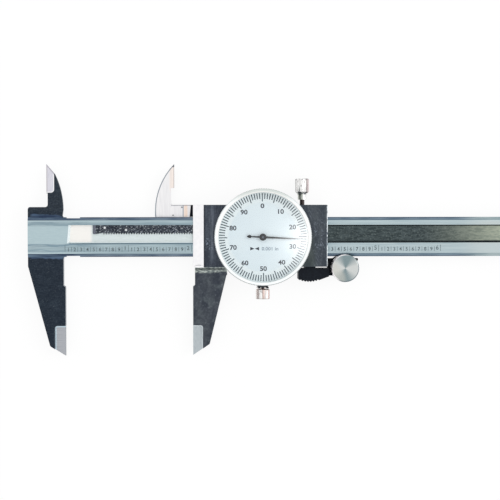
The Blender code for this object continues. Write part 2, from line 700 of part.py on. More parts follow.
def right_chamfer(frame, parent):
    """Breaks the slider's right edge on its front."""
    past = 1.0 * MM
    slope = SLIDER_CHAMFER_DEPTH / SLIDER_CHAMFER_WIDTH
    low = WALL_FRONT_Z - SLIDER_CHAMFER_DEPTH
    section = [
        (low - slope * past, SLIDER_RIGHT_X + past),
        (WALL_FRONT_Z + slope * past, SLIDER_RIGHT_X - SLIDER_CHAMFER_WIDTH - past),
        (WALL_FRONT_Z + slope * past, SLIDER_RIGHT_X + past),
    ]
    cut(frame, prism("right_chamfer", section, -SLIDER_DOWN - past, SLIDER_UP + past, turn=ALONG_Y, parent=parent))


def jaw_fillet(frame, parent):
    """The hollow ramp from the outside jaw's face up to the slider's front wall."""
    top = -SLIDER_DOWN - 0.5 * MM
    foot = top - 2.9 * MM
    rise = WALL_FRONT_Z - STRIP_DROP - JAW_FRONT_Z
    turns = [math.radians(15 * step) for step in range(7)]
    curve = [(foot + (top - foot) * math.cos(a), JAW_FRONT_Z + rise * (1 - math.sin(a))) for a in turns]
    section = [(top + MM, BEAM_BACK_Z), (top + MM, JAW_FRONT_Z + rise)] + curve + [(foot, BEAM_BACK_Z)]
    left = MOVING_FACE_X + FACE_RELIEF
    right = MOVING_FACE_X + MOVING_JAW_BACK
    join(frame, prism("jaw_fillet", section, left, right, turn=ALONG_X, parent=parent))


def make_slider_frame(holder, materials):
    left = MOVING_FACE_X
    body = rounded_outline([
        (left, -SLIDER_DOWN, 0),
        (SLIDER_RIGHT_X, -SLIDER_DOWN, 0.4 * MM),
        (SLIDER_RIGHT_X, SLIDER_UP, 0.4 * MM),
        (left, SLIDER_UP, 0),
    ])
    frame = prism("slider_frame", body, SLIDER_BACK_Z, WALL_FRONT_Z, materials["slider_steel"], holder)
    past = 2.0 * MM
    strip_bevel(frame, holder)
    right_chamfer(frame, holder)
    channel = box_outline(left - past, SLIDER_RIGHT_X + past, CHANNEL_LOW, CHANNEL_HIGH)
    cut(frame, prism("beam_channel", channel, SLIDER_BACK_Z - past, WALL_BACK_Z, parent=holder))
    jaw = outside_jaw_outline(
        left, 1, MOVING_JAW_BACK, MOVING_JAW_SHOULDER, MOVING_JAW_KNEE, MOVING_JAW_KNEE_RISE, -SLIDER_DOWN + MM
    )
    join(frame, prism("moving_outside_jaw", jaw, BEAM_BACK_Z, JAW_FRONT_Z, parent=holder))
    jaw_fillet(frame, holder)
    plate = moving_inside_jaw_outline()
    join(frame, prism("moving_inside_jaw", plate, BEAM_BACK_Z, MID_Z - SEAT_GAP, parent=holder))
    blade_cutters(frame, "moving_blade", left, MOVING_BLADE_WIDTH, 1, holder)
    edge_bevel(
        frame, "moving_edge_bevel", left - INSIDE_JAW_BACK, -1, BEAM_BACK_Z, MID_Z - SEAT_GAP, False, holder
    )
    hole(frame, "pinion_window", GEAR_X, GEAR_Y, 2.05 * MM, WALL_BACK_Z - MM, WALL_FRONT_Z + MM, ROUND_SEGMENTS)
    hole(frame, "centre_bush_hole", 0, 0, 1.65 * MM, WALL_BACK_Z + MM, WALL_FRONT_Z + MM, ROUND_SEGMENTS)
    return frame


def make_back_cover(frame, holder, materials):
    left = MOVING_FACE_X
    radius = 1.2 * MM
    outline = rounded_outline([
        (left, -SLIDER_DOWN, radius),
        (SLIDER_RIGHT_X, -SLIDER_DOWN, radius),
        (SLIDER_RIGHT_X, SLIDER_UP, radius),
        (left, SLIDER_UP, radius),
    ])
    cover = prism("back_cover", outline, 0, COVER_THICKNESS, materials["screw_steel"], holder)
    head = 1.1 * MM
    shank = 0.6 * MM
    seat = COVER_THICKNESS * 0.5
    inset = 4.0 * MM
    depth = 3.6 * MM
    columns = (left + inset, SLIDER_RIGHT_X - inset)
    rows = ((CHANNEL_LOW - SLIDER_DOWN) / 2, (CHANNEL_HIGH + SLIDER_UP) / 2)
    for index, (x, y) in enumerate([(x, y) for x in columns for y in rows], start=1):
        screw_hole(cover, f"cover_hole_{index}", x, y, seat, head, shank, COVER_THICKNESS + MM, -MM)
        hole(
            frame, f"frame_cover_hole_{index}", x, y, shank + SEAT_GAP,
            SLIDER_BACK_Z - MM, seat + depth + SEAT_GAP, TINY_SEGMENTS,
        )
        screw(
            f"cover_screw_{index}", x, y, seat - SEAT_GAP / 2, head, seat - 2 * SEAT_GAP, shank, depth,
            materials["screw_steel"], holder, down=False,
        )


def side_hole(target, name, x, z, radius, low, high, parent, faces=SMALL_SEGMENTS):
    """A round hole along Y."""
    cut(target, prism(name, circle_outline(z, x, radius, faces), low, high, turn=ALONG_Y, parent=parent))


def make_gib(frame, holder, materials):
    left = MOVING_FACE_X + GIB_START
    middle = (BEAM_BACK_Z + BEAM_FRONT_Z) / 2
    outline = box_outline(left, left + GIB_LENGTH, GIB_LOW, GIB_LOW + GIB_THICKNESS)
    prism("gib", outline, middle - GIB_HEIGHT / 2, middle + GIB_HEIGHT / 2, materials["brass"], holder)
    radius = 0.8 * MM
    top = SLIDER_UP - 0.3 * MM
    foot = CHANNEL_HIGH + SEAT_GAP - RUNNING_GAP
    for index, along in enumerate((0.17, 0.62), start=1):
        x = left + GIB_LENGTH * along
        side_hole(frame, f"gib_screw_hole_{index}", x, LOCK_Z, radius + SEAT_GAP, CHANNEL_HIGH - MM, SLIDER_UP + MM,
                  holder, TINY_SEGMENTS)
        section = [(0, foot), (radius * 0.6, foot), (radius, foot + 0.5 * MM), (radius, top), (0, top)]
        grub = turned(
            f"gib_screw_{index}", section, materials["screw_steel"], holder, (x, 0, LOCK_Z), ALONG_Y, TINY_SEGMENTS
        )
        slot = prism(
            f"gib_slot_{index}", box_outline(-0.12 * MM, 0.12 * MM, -MM, MM), top - 0.4 * MM, top + MM,
            parent=holder, at=(x, 0, LOCK_Z), turn=ALONG_Y,
        )
        cut(grub, slot)


def make_depth_rod(frame, holder, materials):
    """The flat depth rod: flush with the beam's end when the jaws are shut."""
    left = MOVING_FACE_X + ROD_START
    right = BEAM_RIGHT_X + REST_OPENING
    notch = ROD_WIDTH * 0.35
    outline = [
        (left, ROD_LOW),
        (right - ROD_NOTCH, ROD_LOW),
        (right, ROD_LOW + notch),
        (right, ROD_HIGH),
        (left, ROD_HIGH),
    ]
    rod = prism("depth_rod", outline, ROD_BACK_Z, ROD_BACK_Z + ROD_THICKNESS, materials["rod_steel"], holder)
    tongue_top = WALL_BACK_Z - SEAT_GAP
    tongue = box_outline(left, left + TONGUE_LENGTH, ROD_LOW, ROD_HIGH)
    join(rod, prism("rod_tongue", tongue, ROD_BACK_Z + ROD_THICKNESS * 0.5, tongue_top, parent=holder))
    head = 1.2 * MM
    shank = 0.6 * MM
    seat = WALL_FRONT_Z - 0.9 * MM
    y = (ROD_LOW + ROD_HIGH) / 2
    depth = seat - ROD_BACK_Z - 0.15 * MM
    for index, along in enumerate((3.5 * MM, 12.5 * MM), start=1):
        x = left + along
        screw_hole(frame, f"frame_rod_hole_{index}", x, y, seat, head, shank, WALL_BACK_Z - MM, WALL_FRONT_Z + MM)
        hole(rod, f"rod_hole_{index}", x, y, shank + SEAT_GAP, ROD_BACK_Z - MM, tongue_top + MM, TINY_SEGMENTS)
        screw(
            f"rod_screw_{index}", x, y, seat + SEAT_GAP / 2, head, WALL_FRONT_Z - seat - SEAT_GAP, shank, depth,
            materials["screw_steel"], holder,
        )


# Gear train

def gear_outline(teeth, module, addendum, dedendum, phase, flank_steps):
    """A spur gear with involute flanks, one of its teeth centred on the phase angle."""
    pitch = teeth * module / 2
    base = pitch * math.cos(PRESSURE_ANGLE)
    root = pitch - dedendum
    tip = pitch + addendum
    start = max(base, root)
    half_at_pitch = (math.pi * module / 2 - BACKLASH) / 2 / pitch
    widest = half_at_pitch + math.tan(PRESSURE_ANGLE) - PRESSURE_ANGLE

    def half_angle(radius):
        roll = math.acos(min(1, base / radius))
        return widest - (math.tan(roll) - roll)

    radii = [start + (tip - start) * step / flank_steps for step in range(flank_steps + 1)]
    flank = [(radius, half_angle(radius)) for radius in radii]
    if root < start:
        flank.insert(0, (root, widest))
    outline = []
    for tooth in range(teeth):
        centre = phase + math.tau * tooth / teeth
        for radius, half in flank:
            outline.append((radius * math.cos(centre - half), radius * math.sin(centre - half)))
        for radius, half in reversed(flank):
            outline.append((radius * math.cos(centre + half), radius * math.sin(centre + half)))
    return outline


def rack_pinion_phase():
    """Turns the pinion so that one of its gaps meets a tooth of the rack above it."""
    offset = (rack_tooth_centres()[0] - GEAR_X) % RACK_PITCH
    gap = math.pi / 2 - offset / RACK_PINION_RADIUS
    return gap + math.pi / RACK_PINION_TEETH


def make_rack_pinion(axis, materials):
    """The arbor with the pinion that the rack drives, up to its pivot in the bridge."""
    low = GROOVE_FLOOR_Z + 0.2 * MM
    teeth_top = ROD_BACK_Z - 0.15 * MM
    shoulder = BRIDGE_BACK_Z - SEAT_GAP
    top = BRIDGE_FRONT_Z
    section = [(0, low), (ARBOR_RADIUS, low), (ARBOR_RADIUS, shoulder), (PIVOT_RADIUS, shoulder)]
    section += [(PIVOT_RADIUS, top), (0, top)]
    arbor = turned("rack_pinion", section, materials["gear_steel"], axis, faces=SMALL_SEGMENTS)
    module = RACK_PITCH / math.pi
    outline = gear_outline(
        RACK_PINION_TEETH, module, RACK_ADDENDUM, RACK_DEDENDUM, rack_pinion_phase(), 3
    )
    join(arbor, prism("rack_pinion_teeth", outline, low, teeth_top, parent=axis))


def mesh_angle():
    """The direction from the gear's arbor to the dial's centre."""
    return math.atan2(-GEAR_Y, -GEAR_X)


def make_train_gear(name, low, axis, materials):
    outline = gear_outline(DRIVE_TEETH, GEAR_MODULE, GEAR_ADDENDUM, GEAR_DEDENDUM, mesh_angle(), 1)
    gear = prism(name, outline, low, low + GEAR_THICKNESS, materials["brass"], axis)
    hole(gear, name + "_bore", 0, 0, ARBOR_RADIUS + SEAT_GAP, low - MM, low + GEAR_THICKNESS + MM)
    ring = DRIVE_TEETH * GEAR_MODULE * 0.29
    for index in range(4):
        angle = math.tau * (index + 0.5) / 4
        x = ring * math.cos(angle)
        y = ring * math.sin(angle)
        hole(gear, f"{name}_window_{index + 1}", x, y, 1.3 * MM, low - MM, low + GEAR_THICKNESS + MM, TINY_SEGMENTS)


def make_takeup_spring(axis, materials):
    """The open spring ring that keeps the two gears turned against each other."""
    wire = 0.11 * MM
    sweep_radius = 2.2 * MM
    height = TAKEUP_FRONT_Z + wire + SEAT_GAP
    rings = []
    for step in range(15):
        angle = math.radians(20 + 320 * step / 14)
        rings.append([
            (
                (sweep_radius + wire * math.cos(turn)) * math.cos(angle),
                (sweep_radius + wire * math.cos(turn)) * math.sin(angle),
                height + wire * math.sin(turn),
            )
            for turn in (math.tau * side / 6 for side in range(6))
        ])
    lofted("takeup_spring", rings, materials["gear_steel"], axis)


def make_centre_pinion(axis, materials):
    """The arbor in the dial's centre, with the pinion that both gears drive and the needle's seat."""
    foot = WALL_FRONT_Z - 1.35 * MM
    low = DRIVE_BACK_Z - GEAR_SPACE / 4
    high = TAKEUP_FRONT_Z + GEAR_SPACE / 4
    top = NEEDLE_BACK_Z + 0.4 * MM
    body = ARBOR_RADIUS
    section = [
        (0, foot), (PIVOT_RADIUS, foot), (PIVOT_RADIUS, low - 0.1 * MM), (body, low - 0.1 * MM),
        (body, high), (PIVOT_RADIUS, high), (PIVOT_RADIUS, top), (0, top),
    ]
    arbor = turned("centre_pinion", section, materials["gear_steel"], axis, faces=SMALL_SEGMENTS)
    gap_angle = mesh_angle() + math.pi
    phase = gap_angle + math.pi / CENTRE_TEETH
    outline = gear_outline(CENTRE_TEETH, GEAR_MODULE, GEAR_ADDENDUM, GEAR_DEDENDUM, phase, 2)
    join(arbor, prism("centre_pinion_teeth", outline, low, high - 0.05 * MM, parent=axis))


def ring_section(inner, outer, low, high):
    return [(inner, low), (outer, low), (outer, high), (inner, high)]


def make_bushes(holder, materials):
    """Brass bearings of both arbors, in the slider's front wall and in the bridge."""
    wall_low = WALL_BACK_Z + SEAT_GAP
    centre_low = WALL_BACK_Z + MM + SEAT_GAP
    bridge_low = BRIDGE_BACK_Z + SEAT_GAP
    gear_at = (GEAR_X, GEAR_Y, 0)
    bushes = [
        ("gear_bush_lower", gear_at, ARBOR_RADIUS, 2.0 * MM, wall_low, WALL_FRONT_Z),
        ("centre_bush_lower", (0, 0, 0), PIVOT_RADIUS, 1.6 * MM, centre_low, WALL_FRONT_Z),
        ("gear_bush_upper", gear_at, PIVOT_RADIUS, 1.0 * MM, bridge_low, BRIDGE_FRONT_Z),
        ("centre_bush_upper", (0, 0, 0), PIVOT_RADIUS, 1.0 * MM, bridge_low, BRIDGE_FRONT_Z),
    ]
    for name, at, shaft, outer, low, high in bushes:
        section = ring_section(shaft + SEAT_GAP, outer, low, high)
        turned(name, section, materials["brass"], holder, at, faces=SMALL_SEGMENTS)


BRIDGE_POSTS = [(-7.2 * MM, 8.6 * MM), (-7.2 * MM, -9.0 * MM), (5.0 * MM, -0.3 * MM)]
BRIDGE_RIM = 2.2 * MM
BRIDGE_SHOULDER = 2.6 * MM


def make_bridge(frame, holder, materials):
    (upper_x, upper_y), (lower_x, lower_y), (right_x, right_y) = BRIDGE_POSTS
    left = min(upper_x, lower_x) - BRIDGE_RIM
    right = right_x + BRIDGE_RIM + 0.6 * MM
    outline = rounded_outline([
        (left, upper_y + BRIDGE_RIM, BRIDGE_RIM),
        (left, lower_y - BRIDGE_RIM, BRIDGE_RIM),
        (lower_x + BRIDGE_SHOULDER, lower_y - BRIDGE_RIM, BRIDGE_RIM),
        (right, right_y - BRIDGE_RIM, BRIDGE_RIM),
        (right, right_y + BRIDGE_RIM, BRIDGE_RIM),
        (upper_x + BRIDGE_SHOULDER, upper_y + BRIDGE_RIM, BRIDGE_RIM),
    ])
    bridge = prism("bridge_plate", outline, BRIDGE_BACK_Z, BRIDGE_FRONT_Z, materials["gear_steel"], holder)
    for name, x, y in (("bridge_gear_hole", GEAR_X, GEAR_Y), ("bridge_centre_hole", 0, 0)):
        hole(bridge, name, x, y, 1.0 * MM + SEAT_GAP, BRIDGE_BACK_Z - MM, BRIDGE_FRONT_Z + MM)
    shank = 0.6 * MM
    head_height = DIAL_BACK_Z - BRIDGE_FRONT_Z - 3 * SEAT_GAP
    low = WALL_FRONT_Z + SEAT_GAP
    depth = BRIDGE_FRONT_Z - WALL_FRONT_Z + 1.6 * MM
    for index, (x, y) in enumerate(BRIDGE_POSTS, start=1):
        section = ring_section(shank + SEAT_GAP, POST_RADIUS, low, BRIDGE_BACK_Z - SEAT_GAP)
        turned(f"bridge_post_{index}", section, materials["gear_steel"], holder, (x, y, 0), faces=TINY_SEGMENTS)
        hole(
            bridge, f"bridge_hole_{index}", x, y, shank + SEAT_GAP,
            BRIDGE_BACK_Z - MM, BRIDGE_FRONT_Z + MM, TINY_SEGMENTS,
        )
        hole(
            frame, f"frame_bridge_hole_{index}", x, y, shank + SEAT_GAP,
            BRIDGE_FRONT_Z - depth - SEAT_GAP, WALL_FRONT_Z + MM, TINY_SEGMENTS,
        )
        screw(
            f"bridge_screw_{index}", x, y, BRIDGE_FRONT_Z + SEAT_GAP / 2, 1.2 * MM, head_height, shank, depth,
            materials["screw_steel"], holder,
        )


# Dial case with the bezel and what turns in it

CASE_SCREW_ANGLES = (34, 146, 214, 326)


def make_dial_case(frame, holder, materials):
    wall = CASE_RADIUS - CASE_WALL
    spring_low = CASE_BACK_Z + 2.05 * MM
    spring_high = spring_low + 0.6 * MM
    spring_depth = 0.45 * MM
    inner = CASE_RADIUS - CASE_FLOOR_WIDTH
    section = [
        (wall, CASE_BACK_Z + CASE_FLOOR), (inner, CASE_BACK_Z + CASE_FLOOR), (inner, CASE_BACK_Z),
        (CASE_RADIUS, CASE_BACK_Z), (CASE_RADIUS, spring_low), (CASE_RADIUS - spring_depth, spring_low),
        (CASE_RADIUS - spring_depth, spring_high), (CASE_RADIUS, spring_high), (CASE_RADIUS, CASE_FRONT_Z),
        (wall, CASE_FRONT_Z),
    ]
    case = turned("dial_case", section, materials["slider_steel"], holder, faces=FINE_SEGMENTS)
    window = circle_outline(GEAR_X, GEAR_Y, DRIVE_TEETH * GEAR_MODULE / 2 + 0.8 * MM, ROUND_SEGMENTS)
    cut(case, prism("case_gear_window", window, CASE_BACK_Z - MM, CASE_BACK_Z + CASE_FLOOR + MM, parent=holder))
    make_clamp_lug(case, holder)
    for index, (x, y) in enumerate(BRIDGE_POSTS, start=1):
        hole(case, f"case_post_hole_{index}", x, y, POST_RADIUS + 0.2 * MM, CASE_BACK_Z - MM,
             CASE_BACK_Z + CASE_FLOOR + 0.5 * MM, TINY_SEGMENTS)
    head = 1.1 * MM
    shank = 0.6 * MM
    depth = 2.0 * MM
    seat = CASE_BACK_Z + CASE_FLOOR
    ring = CASE_RADIUS - CASE_SCREW_INSET
    for index, degrees in enumerate(CASE_SCREW_ANGLES, start=1):
        x = ring * math.cos(math.radians(degrees))
        y = ring * math.sin(math.radians(degrees))
        hole(case, f"case_screw_hole_{index}", x, y, shank + SEAT_GAP, CASE_BACK_Z - MM, seat + MM, TINY_SEGMENTS)
        hole(frame, f"frame_case_hole_{index}", x, y, shank + SEAT_GAP,
             seat - depth - SEAT_GAP, WALL_FRONT_Z + MM, TINY_SEGMENTS)
        screw(
            f"case_screw_{index}", x, y, seat + SEAT_GAP / 2, head, 0.7 * MM, shank, depth,
            materials["screw_steel"], holder,
        )
    wire = 0.19 * MM
    make_bezel_spring(CASE_RADIUS - wire - SEAT_GAP / 2, (spring_low + spring_high) / 2, wire, holder, materials)


def make_bezel_spring(sweep_radius, height, wire, holder, materials):
    """The split wire ring in the case's groove, on which the bezel drags."""
    rings = []
    steps = 36
    for step in range(steps + 1):
        angle = math.radians(96 + 348 * step / steps)
        rings.append([
            (
                (sweep_radius + wire * math.cos(turn)) * math.cos(angle),
                (sweep_radius + wire * math.cos(turn)) * math.sin(angle),
                height + wire * math.sin(turn),
            )
            for turn in (math.tau * (side + 0.5) / 4 for side in range(4))
        ])
    lofted("bezel_spring", rings, materials["gear_steel"], holder)


SHOE_TRAVEL = 0.25 * MM
LUG_INNER_Y = -BEZEL_RADIUS - SHOE_TRAVEL + SEAT_GAP
LUG_OUTER_Y = LUG_INNER_Y - LUG_WALL
LUG_BACK_Z = CASE_BACK_Z
LUG_FRONT_Z = CASE_FRONT_Z + 1.6 * MM
SHOE_Z = CASE_FRONT_Z - 0.4 * MM


def make_clamp_lug(case, holder):
    """The lug below the bezel, joined to the case behind the bezel's skirt, that holds the clamp screw."""
    half = LUG_WIDTH / 2
    narrow = half - LUG_TAPER
    foot = box_outline(-narrow, narrow, LUG_OUTER_Y, -CASE_RADIUS + CASE_WALL * 0.6)
    join(case, prism("lug_foot", foot, LUG_BACK_Z, BEZEL_BACK_Z - RUNNING_GAP, parent=holder))
    riser = [(-half, LUG_OUTER_Y), (half, LUG_OUTER_Y), (narrow, LUG_INNER_Y), (-narrow, LUG_INNER_Y)]
    join(case, prism("lug_riser", riser, LUG_BACK_Z + 0.2 * MM, LUG_FRONT_Z, parent=holder))
    side = SHOE_WIDTH / 2 + SEAT_GAP
    pocket = box_outline(-side, side, LUG_INNER_Y - SHOE_THICKNESS - 2 * SEAT_GAP, LUG_INNER_Y + MM)
    low = SHOE_Z - SHOE_WIDTH / 2 - SEAT_GAP
    high = SHOE_Z + SHOE_WIDTH / 2 + SEAT_GAP
    cut(case, prism("shoe_pocket", pocket, low, high, parent=holder))
    side_hole(case, "clamp_screw_hole", 0, SHOE_Z, LOCK_STEM_RADIUS + SEAT_GAP, LUG_OUTER_Y - MM, LUG_INNER_Y + MM,
              holder)


def make_bezel(axis, materials):
    """The rim that turns with the crystal and the dial."""
    seat = BEZEL_SKIRT - 0.55 * MM
    shoulder = CASE_FRONT_Z + RUNNING_GAP
    crystal = CRYSTAL_BACK_Z - SEAT_GAP
    recess = BEZEL_RADIUS - BEZEL_LIP + 0.6 * MM
    mouth = BEZEL_RADIUS - BEZEL_LIP
    lip_back = BEZEL_FRONT_Z - BEZEL_LIP_THICKNESS
    section = [
        (BEZEL_SKIRT, BEZEL_BACK_Z), (BEZEL_RADIUS, BEZEL_BACK_Z), (BEZEL_RADIUS, BEZEL_FRONT_Z - 0.4 * MM),
        (BEZEL_RADIUS - 0.5 * MM, BEZEL_FRONT_Z), (mouth, BEZEL_FRONT_Z), (mouth, lip_back),
        (recess, lip_back), (recess, crystal), (seat, crystal), (seat, shoulder), (BEZEL_SKIRT, shoulder),
    ]
    turned("bezel", section, materials["bezel_plastic"], axis, faces=FINE_SEGMENTS)
    pane = recess - SEAT_GAP
    clear = mouth - 0.3 * MM
    dome = CRYSTAL_FRONT_Z + CRYSTAL_DOME
    section = [(0, CRYSTAL_BACK_Z), (pane, CRYSTAL_BACK_Z), (pane, CRYSTAL_FRONT_Z), (clear, CRYSTAL_FRONT_Z)]
    section += [(clear * 0.6, CRYSTAL_FRONT_Z + CRYSTAL_DOME * 0.7), (0, dome)]
    turned("crystal", section, materials["crystal_glass"], axis, faces=FINE_SEGMENTS)
    section = ring_section(DIAL_HOLE, seat - SEAT_GAP, DIAL_BACK_Z, DIAL_FRONT_Z)
    turned("dial_face", section, materials["dial_paint"], axis, faces=FINE_SEGMENTS)


def make_needle(axis, materials):
    """The tapered hand with its pointed, drop-shaped counterweight, riveted to a small hub."""
    root = 0.42 * MM
    tip = 0.09 * MM
    weight = NEEDLE_WEIGHT_RADIUS
    weight_x = -NEEDLE_TAIL + 2 * weight
    joint = math.degrees(math.asin(0.45 * root / weight))
    hand = [(NEEDLE_TIP, -tip), (NEEDLE_TIP, tip), (0, root)]
    hand += arc(weight_x, 0, weight, joint, 120, 4)
    hand += [(-NEEDLE_TAIL, 0)]
    hand += arc(weight_x, 0, weight, 240, 360 - joint, 4)
    hand += [(0, -root)]
    high = NEEDLE_BACK_Z + NEEDLE_THICKNESS
    turn = Matrix.Rotation(NEEDLE_ANGLE, 4, "Z")
    needle = prism("needle", hand, NEEDLE_BACK_Z, high, materials["needle_paint"], axis, turn=turn)
    hub = circle_outline(0, 0, NEEDLE_HUB_RADIUS, ROUND_SEGMENTS)
    join(needle, prism("needle_hub", hub, NEEDLE_BACK_Z - 0.2 * MM, high + 0.25 * MM, parent=axis))
    hole(needle, "needle_bore", 0, 0, PIVOT_RADIUS + SEAT_GAP, NEEDLE_BACK_Z - MM, high + MM)


# Lock screws

def knurled_screw(name, stem, neck, head_low, head_high, chamfer, material, parent):
    """A thumbscrew along its own Z: stem, neck and a head with straight flutes; lengths grow outwards."""
    count = FLUTES * 2

    def ring(radius, height, fluted):
        points = []
        for index in range(count):
            cut_in = FLUTE_DEPTH if fluted and index % 2 else 0
            angle = math.tau * index / count
            points.append(((radius - cut_in) * math.cos(angle), (radius - cut_in) * math.sin(angle), height))
        return points

    stem_radius, stem_low, stem_high = stem
    neck_radius, neck_high = neck
    rings = [
        ring(stem_radius, stem_low, False),
        ring(stem_radius, stem_high, False),
        ring(neck_radius, stem_high, False),
        ring(neck_radius, neck_high, False),
        ring(HEAD_RADIUS - chamfer, head_low, False),
        ring(HEAD_RADIUS, head_low + chamfer, True),
        ring(HEAD_RADIUS, head_high - chamfer / 2, True),
        ring(HEAD_RADIUS - chamfer / 2, head_high, False),
    ]
    return lofted(name, rings, material, parent, turn=ALONG_Y)


def make_slide_lock(frame, axis, holder, materials):
    """The screw on top of the slider and the brass pad that it presses on the gib."""
    pad_low = GIB_LOW + GIB_THICKNESS + RUNNING_GAP
    pad_high = pad_low + PAD_THICKNESS
    stem_low = pad_high + SEAT_GAP
    stem_high = SLIDER_UP + 2.1 * MM
    head_low = SLIDER_UP + LOCK_HEAD_RISE
    radius = LOCK_STEM_RADIUS
    side_hole(frame, "lock_screw_hole", LOCK_X, LOCK_Z, radius + SEAT_GAP, CHANNEL_HIGH - MM, SLIDER_UP + MM, holder)
    knurled_screw(
        "slide_lock_screw", (radius, stem_low, stem_high), (LOCK_NECK_RADIUS, head_low - 0.7 * MM),
        head_low, head_low + LOCK_HEAD_HEIGHT, 0.7 * MM, materials["nickel"], axis,
    )
    section = [(0, pad_low), (radius, pad_low), (radius, pad_high), (0, pad_high)]
    turned("lock_pad", section, materials["brass"], axis, turn=ALONG_Y, faces=SMALL_SEGMENTS)


def make_bezel_lock(axis, materials):
    """The screw below the dial and the shoe that it presses on the bezel."""
    shoe_high = LUG_INNER_Y - SEAT_GAP
    shoe_low = shoe_high - SHOE_THICKNESS
    stem_high = -LUG_OUTER_Y + SHOE_TRAVEL + SEAT_GAP
    head_low = stem_high + 0.06 * MM
    stem_low = -shoe_low + SEAT_GAP
    screw_piece = knurled_screw(
        "bezel_lock_screw", (LOCK_STEM_RADIUS, stem_low, stem_high), (1.6 * MM, head_low - 0.03 * MM),
        head_low, head_low + BEZEL_HEAD_HEIGHT, 0.3 * MM, materials["nickel"], axis,
    )
    screw_piece.rotation_euler.z = math.pi
    half = SHOE_WIDTH / 2
    outline = rounded_outline([
        (-half, shoe_low, 0), (half, shoe_low, 0), (half, shoe_high, 0.2 * MM), (-half, shoe_high, 0.2 * MM)
    ])
    prism("bezel_shoe", outline, -half, half, materials["brass"], axis)


# Thumb grip and roller

def grip_outline():
    """The thumb rest seen from the front: a flat top with a tab, and a hollow belly with ridges."""
    left = MOVING_FACE_X + GRIP_START
    right = MOVING_FACE_X + GRIP_END
    tab_left = MOVING_FACE_X + GRIP_TAB_START
    tab_right = MOVING_FACE_X + GRIP_TAB_END
    tab_top = -SLIDER_DOWN - SEAT_GAP
    end_y = GRIP_TOP - GRIP_SINK * 0.6
    outline = [(right, end_y), (right, GRIP_TOP), (tab_right, GRIP_TOP), (tab_right, tab_top)]
    outline += [(tab_left, tab_top), (tab_left, GRIP_TOP), (left + 0.8 * MM, GRIP_TOP)]
    outline += [(left, GRIP_TOP - 0.9 * MM), (left, GRIP_TOP - GRIP_SINK * 0.78)]
    ridged = 0.72 * (right - left)
    count = GRIP_TEETH * 2
    for step in range(1, count):
        x = left + ridged * step / count
        belly = math.sin(math.pi * (0.31 + 0.38 * step / count))
        depth = GRIP_SINK * belly - (GRIP_TOOTH if step % 2 == 0 else 0)
        outline.append((x, GRIP_TOP - depth))
    return outline


def arm_outline():
    """The arm behind the roller, from the grip's root to past the roller's axle, with a finger that guards the wheel."""
    left = MOVING_FACE_X + GRIP_START + 6.0 * MM
    step = SLIDER_RIGHT_X + 0.5 * MM
    right = ROLLER_X + ARM_REACH
    top = ROLLER_Y + 3.8 * MM
    low = ROLLER_Y - 3.3 * MM
    guard_top = ROLLER_Y + 4.5 * MM
    finger_low = top - ARM_FINGER_WIDTH
    finger_end = right + ARM_FINGER
    return rounded_outline([
        (left, GRIP_TOP, 0),
        (left, low, 0),
        (right, low, 2.4 * MM),
        (right, finger_low, 0),
        (finger_end, finger_low, 0.3 * MM),
        (finger_end, top, 0.3 * MM),
        (ROLLER_X - 2.4 * MM, top, 0),
        (ROLLER_X - 2.6 * MM, guard_top, 0),
        (ROLLER_X - 3.3 * MM, guard_top, 0.3 * MM),
        (ROLLER_X - 4.4 * MM, top, 0.3 * MM),
        (step, top, 0),
        (step, GRIP_TOP, 0),
    ])


def make_thumb_grip(frame, holder, materials):
    low = GRIP_BACK_Z
    high = GRIP_BACK_Z + ARM_THICKNESS
    grip = prism("thumb_grip", grip_outline(), low, high + GRIP_THICKNESS, materials["black_plastic"], holder)
    join(grip, prism("roller_arm", arm_outline(), low, high, parent=holder))
    hole(grip, "axle_hole", ROLLER_X, ROLLER_Y, AXLE_RADIUS + SEAT_GAP, low - MM, high + MM)
    radius = 0.55 * MM
    head = 1.0 * MM
    z = (low + high + GRIP_THICKNESS) / 2
    tab_middle = MOVING_FACE_X + (GRIP_TAB_START + GRIP_TAB_END) / 2
    for index, aside in enumerate((-1.25 * MM, 1.25 * MM), start=1):
        x = tab_middle + aside
        top = -SLIDER_DOWN + 2.4 * MM
        seat = GRIP_TOP - 1.3 * MM
        foot = seat - 0.8 * MM
        past = GRIP_TOP - GRIP_SINK - MM
        side_hole(
            grip, f"grip_hole_{index}", x, z, radius + SEAT_GAP, seat - MM, -SLIDER_DOWN + MM, holder, TINY_SEGMENTS
        )
        side_hole(grip, f"grip_head_hole_{index}", x, z, head + SEAT_GAP, past, seat, holder, TINY_SEGMENTS)
        side_hole(
            frame, f"frame_grip_hole_{index}", x, z, radius + SEAT_GAP,
            -SLIDER_DOWN - MM, top + SEAT_GAP, holder, TINY_SEGMENTS,
        )
        neck = seat - SEAT_GAP
        section = [(0, foot), (head, foot), (head, neck), (radius, neck), (radius, top), (0, top)]
        turned(f"grip_screw_{index}", section, materials["screw_steel"], holder, (x, 0, z), ALONG_Y, TINY_SEGMENTS)


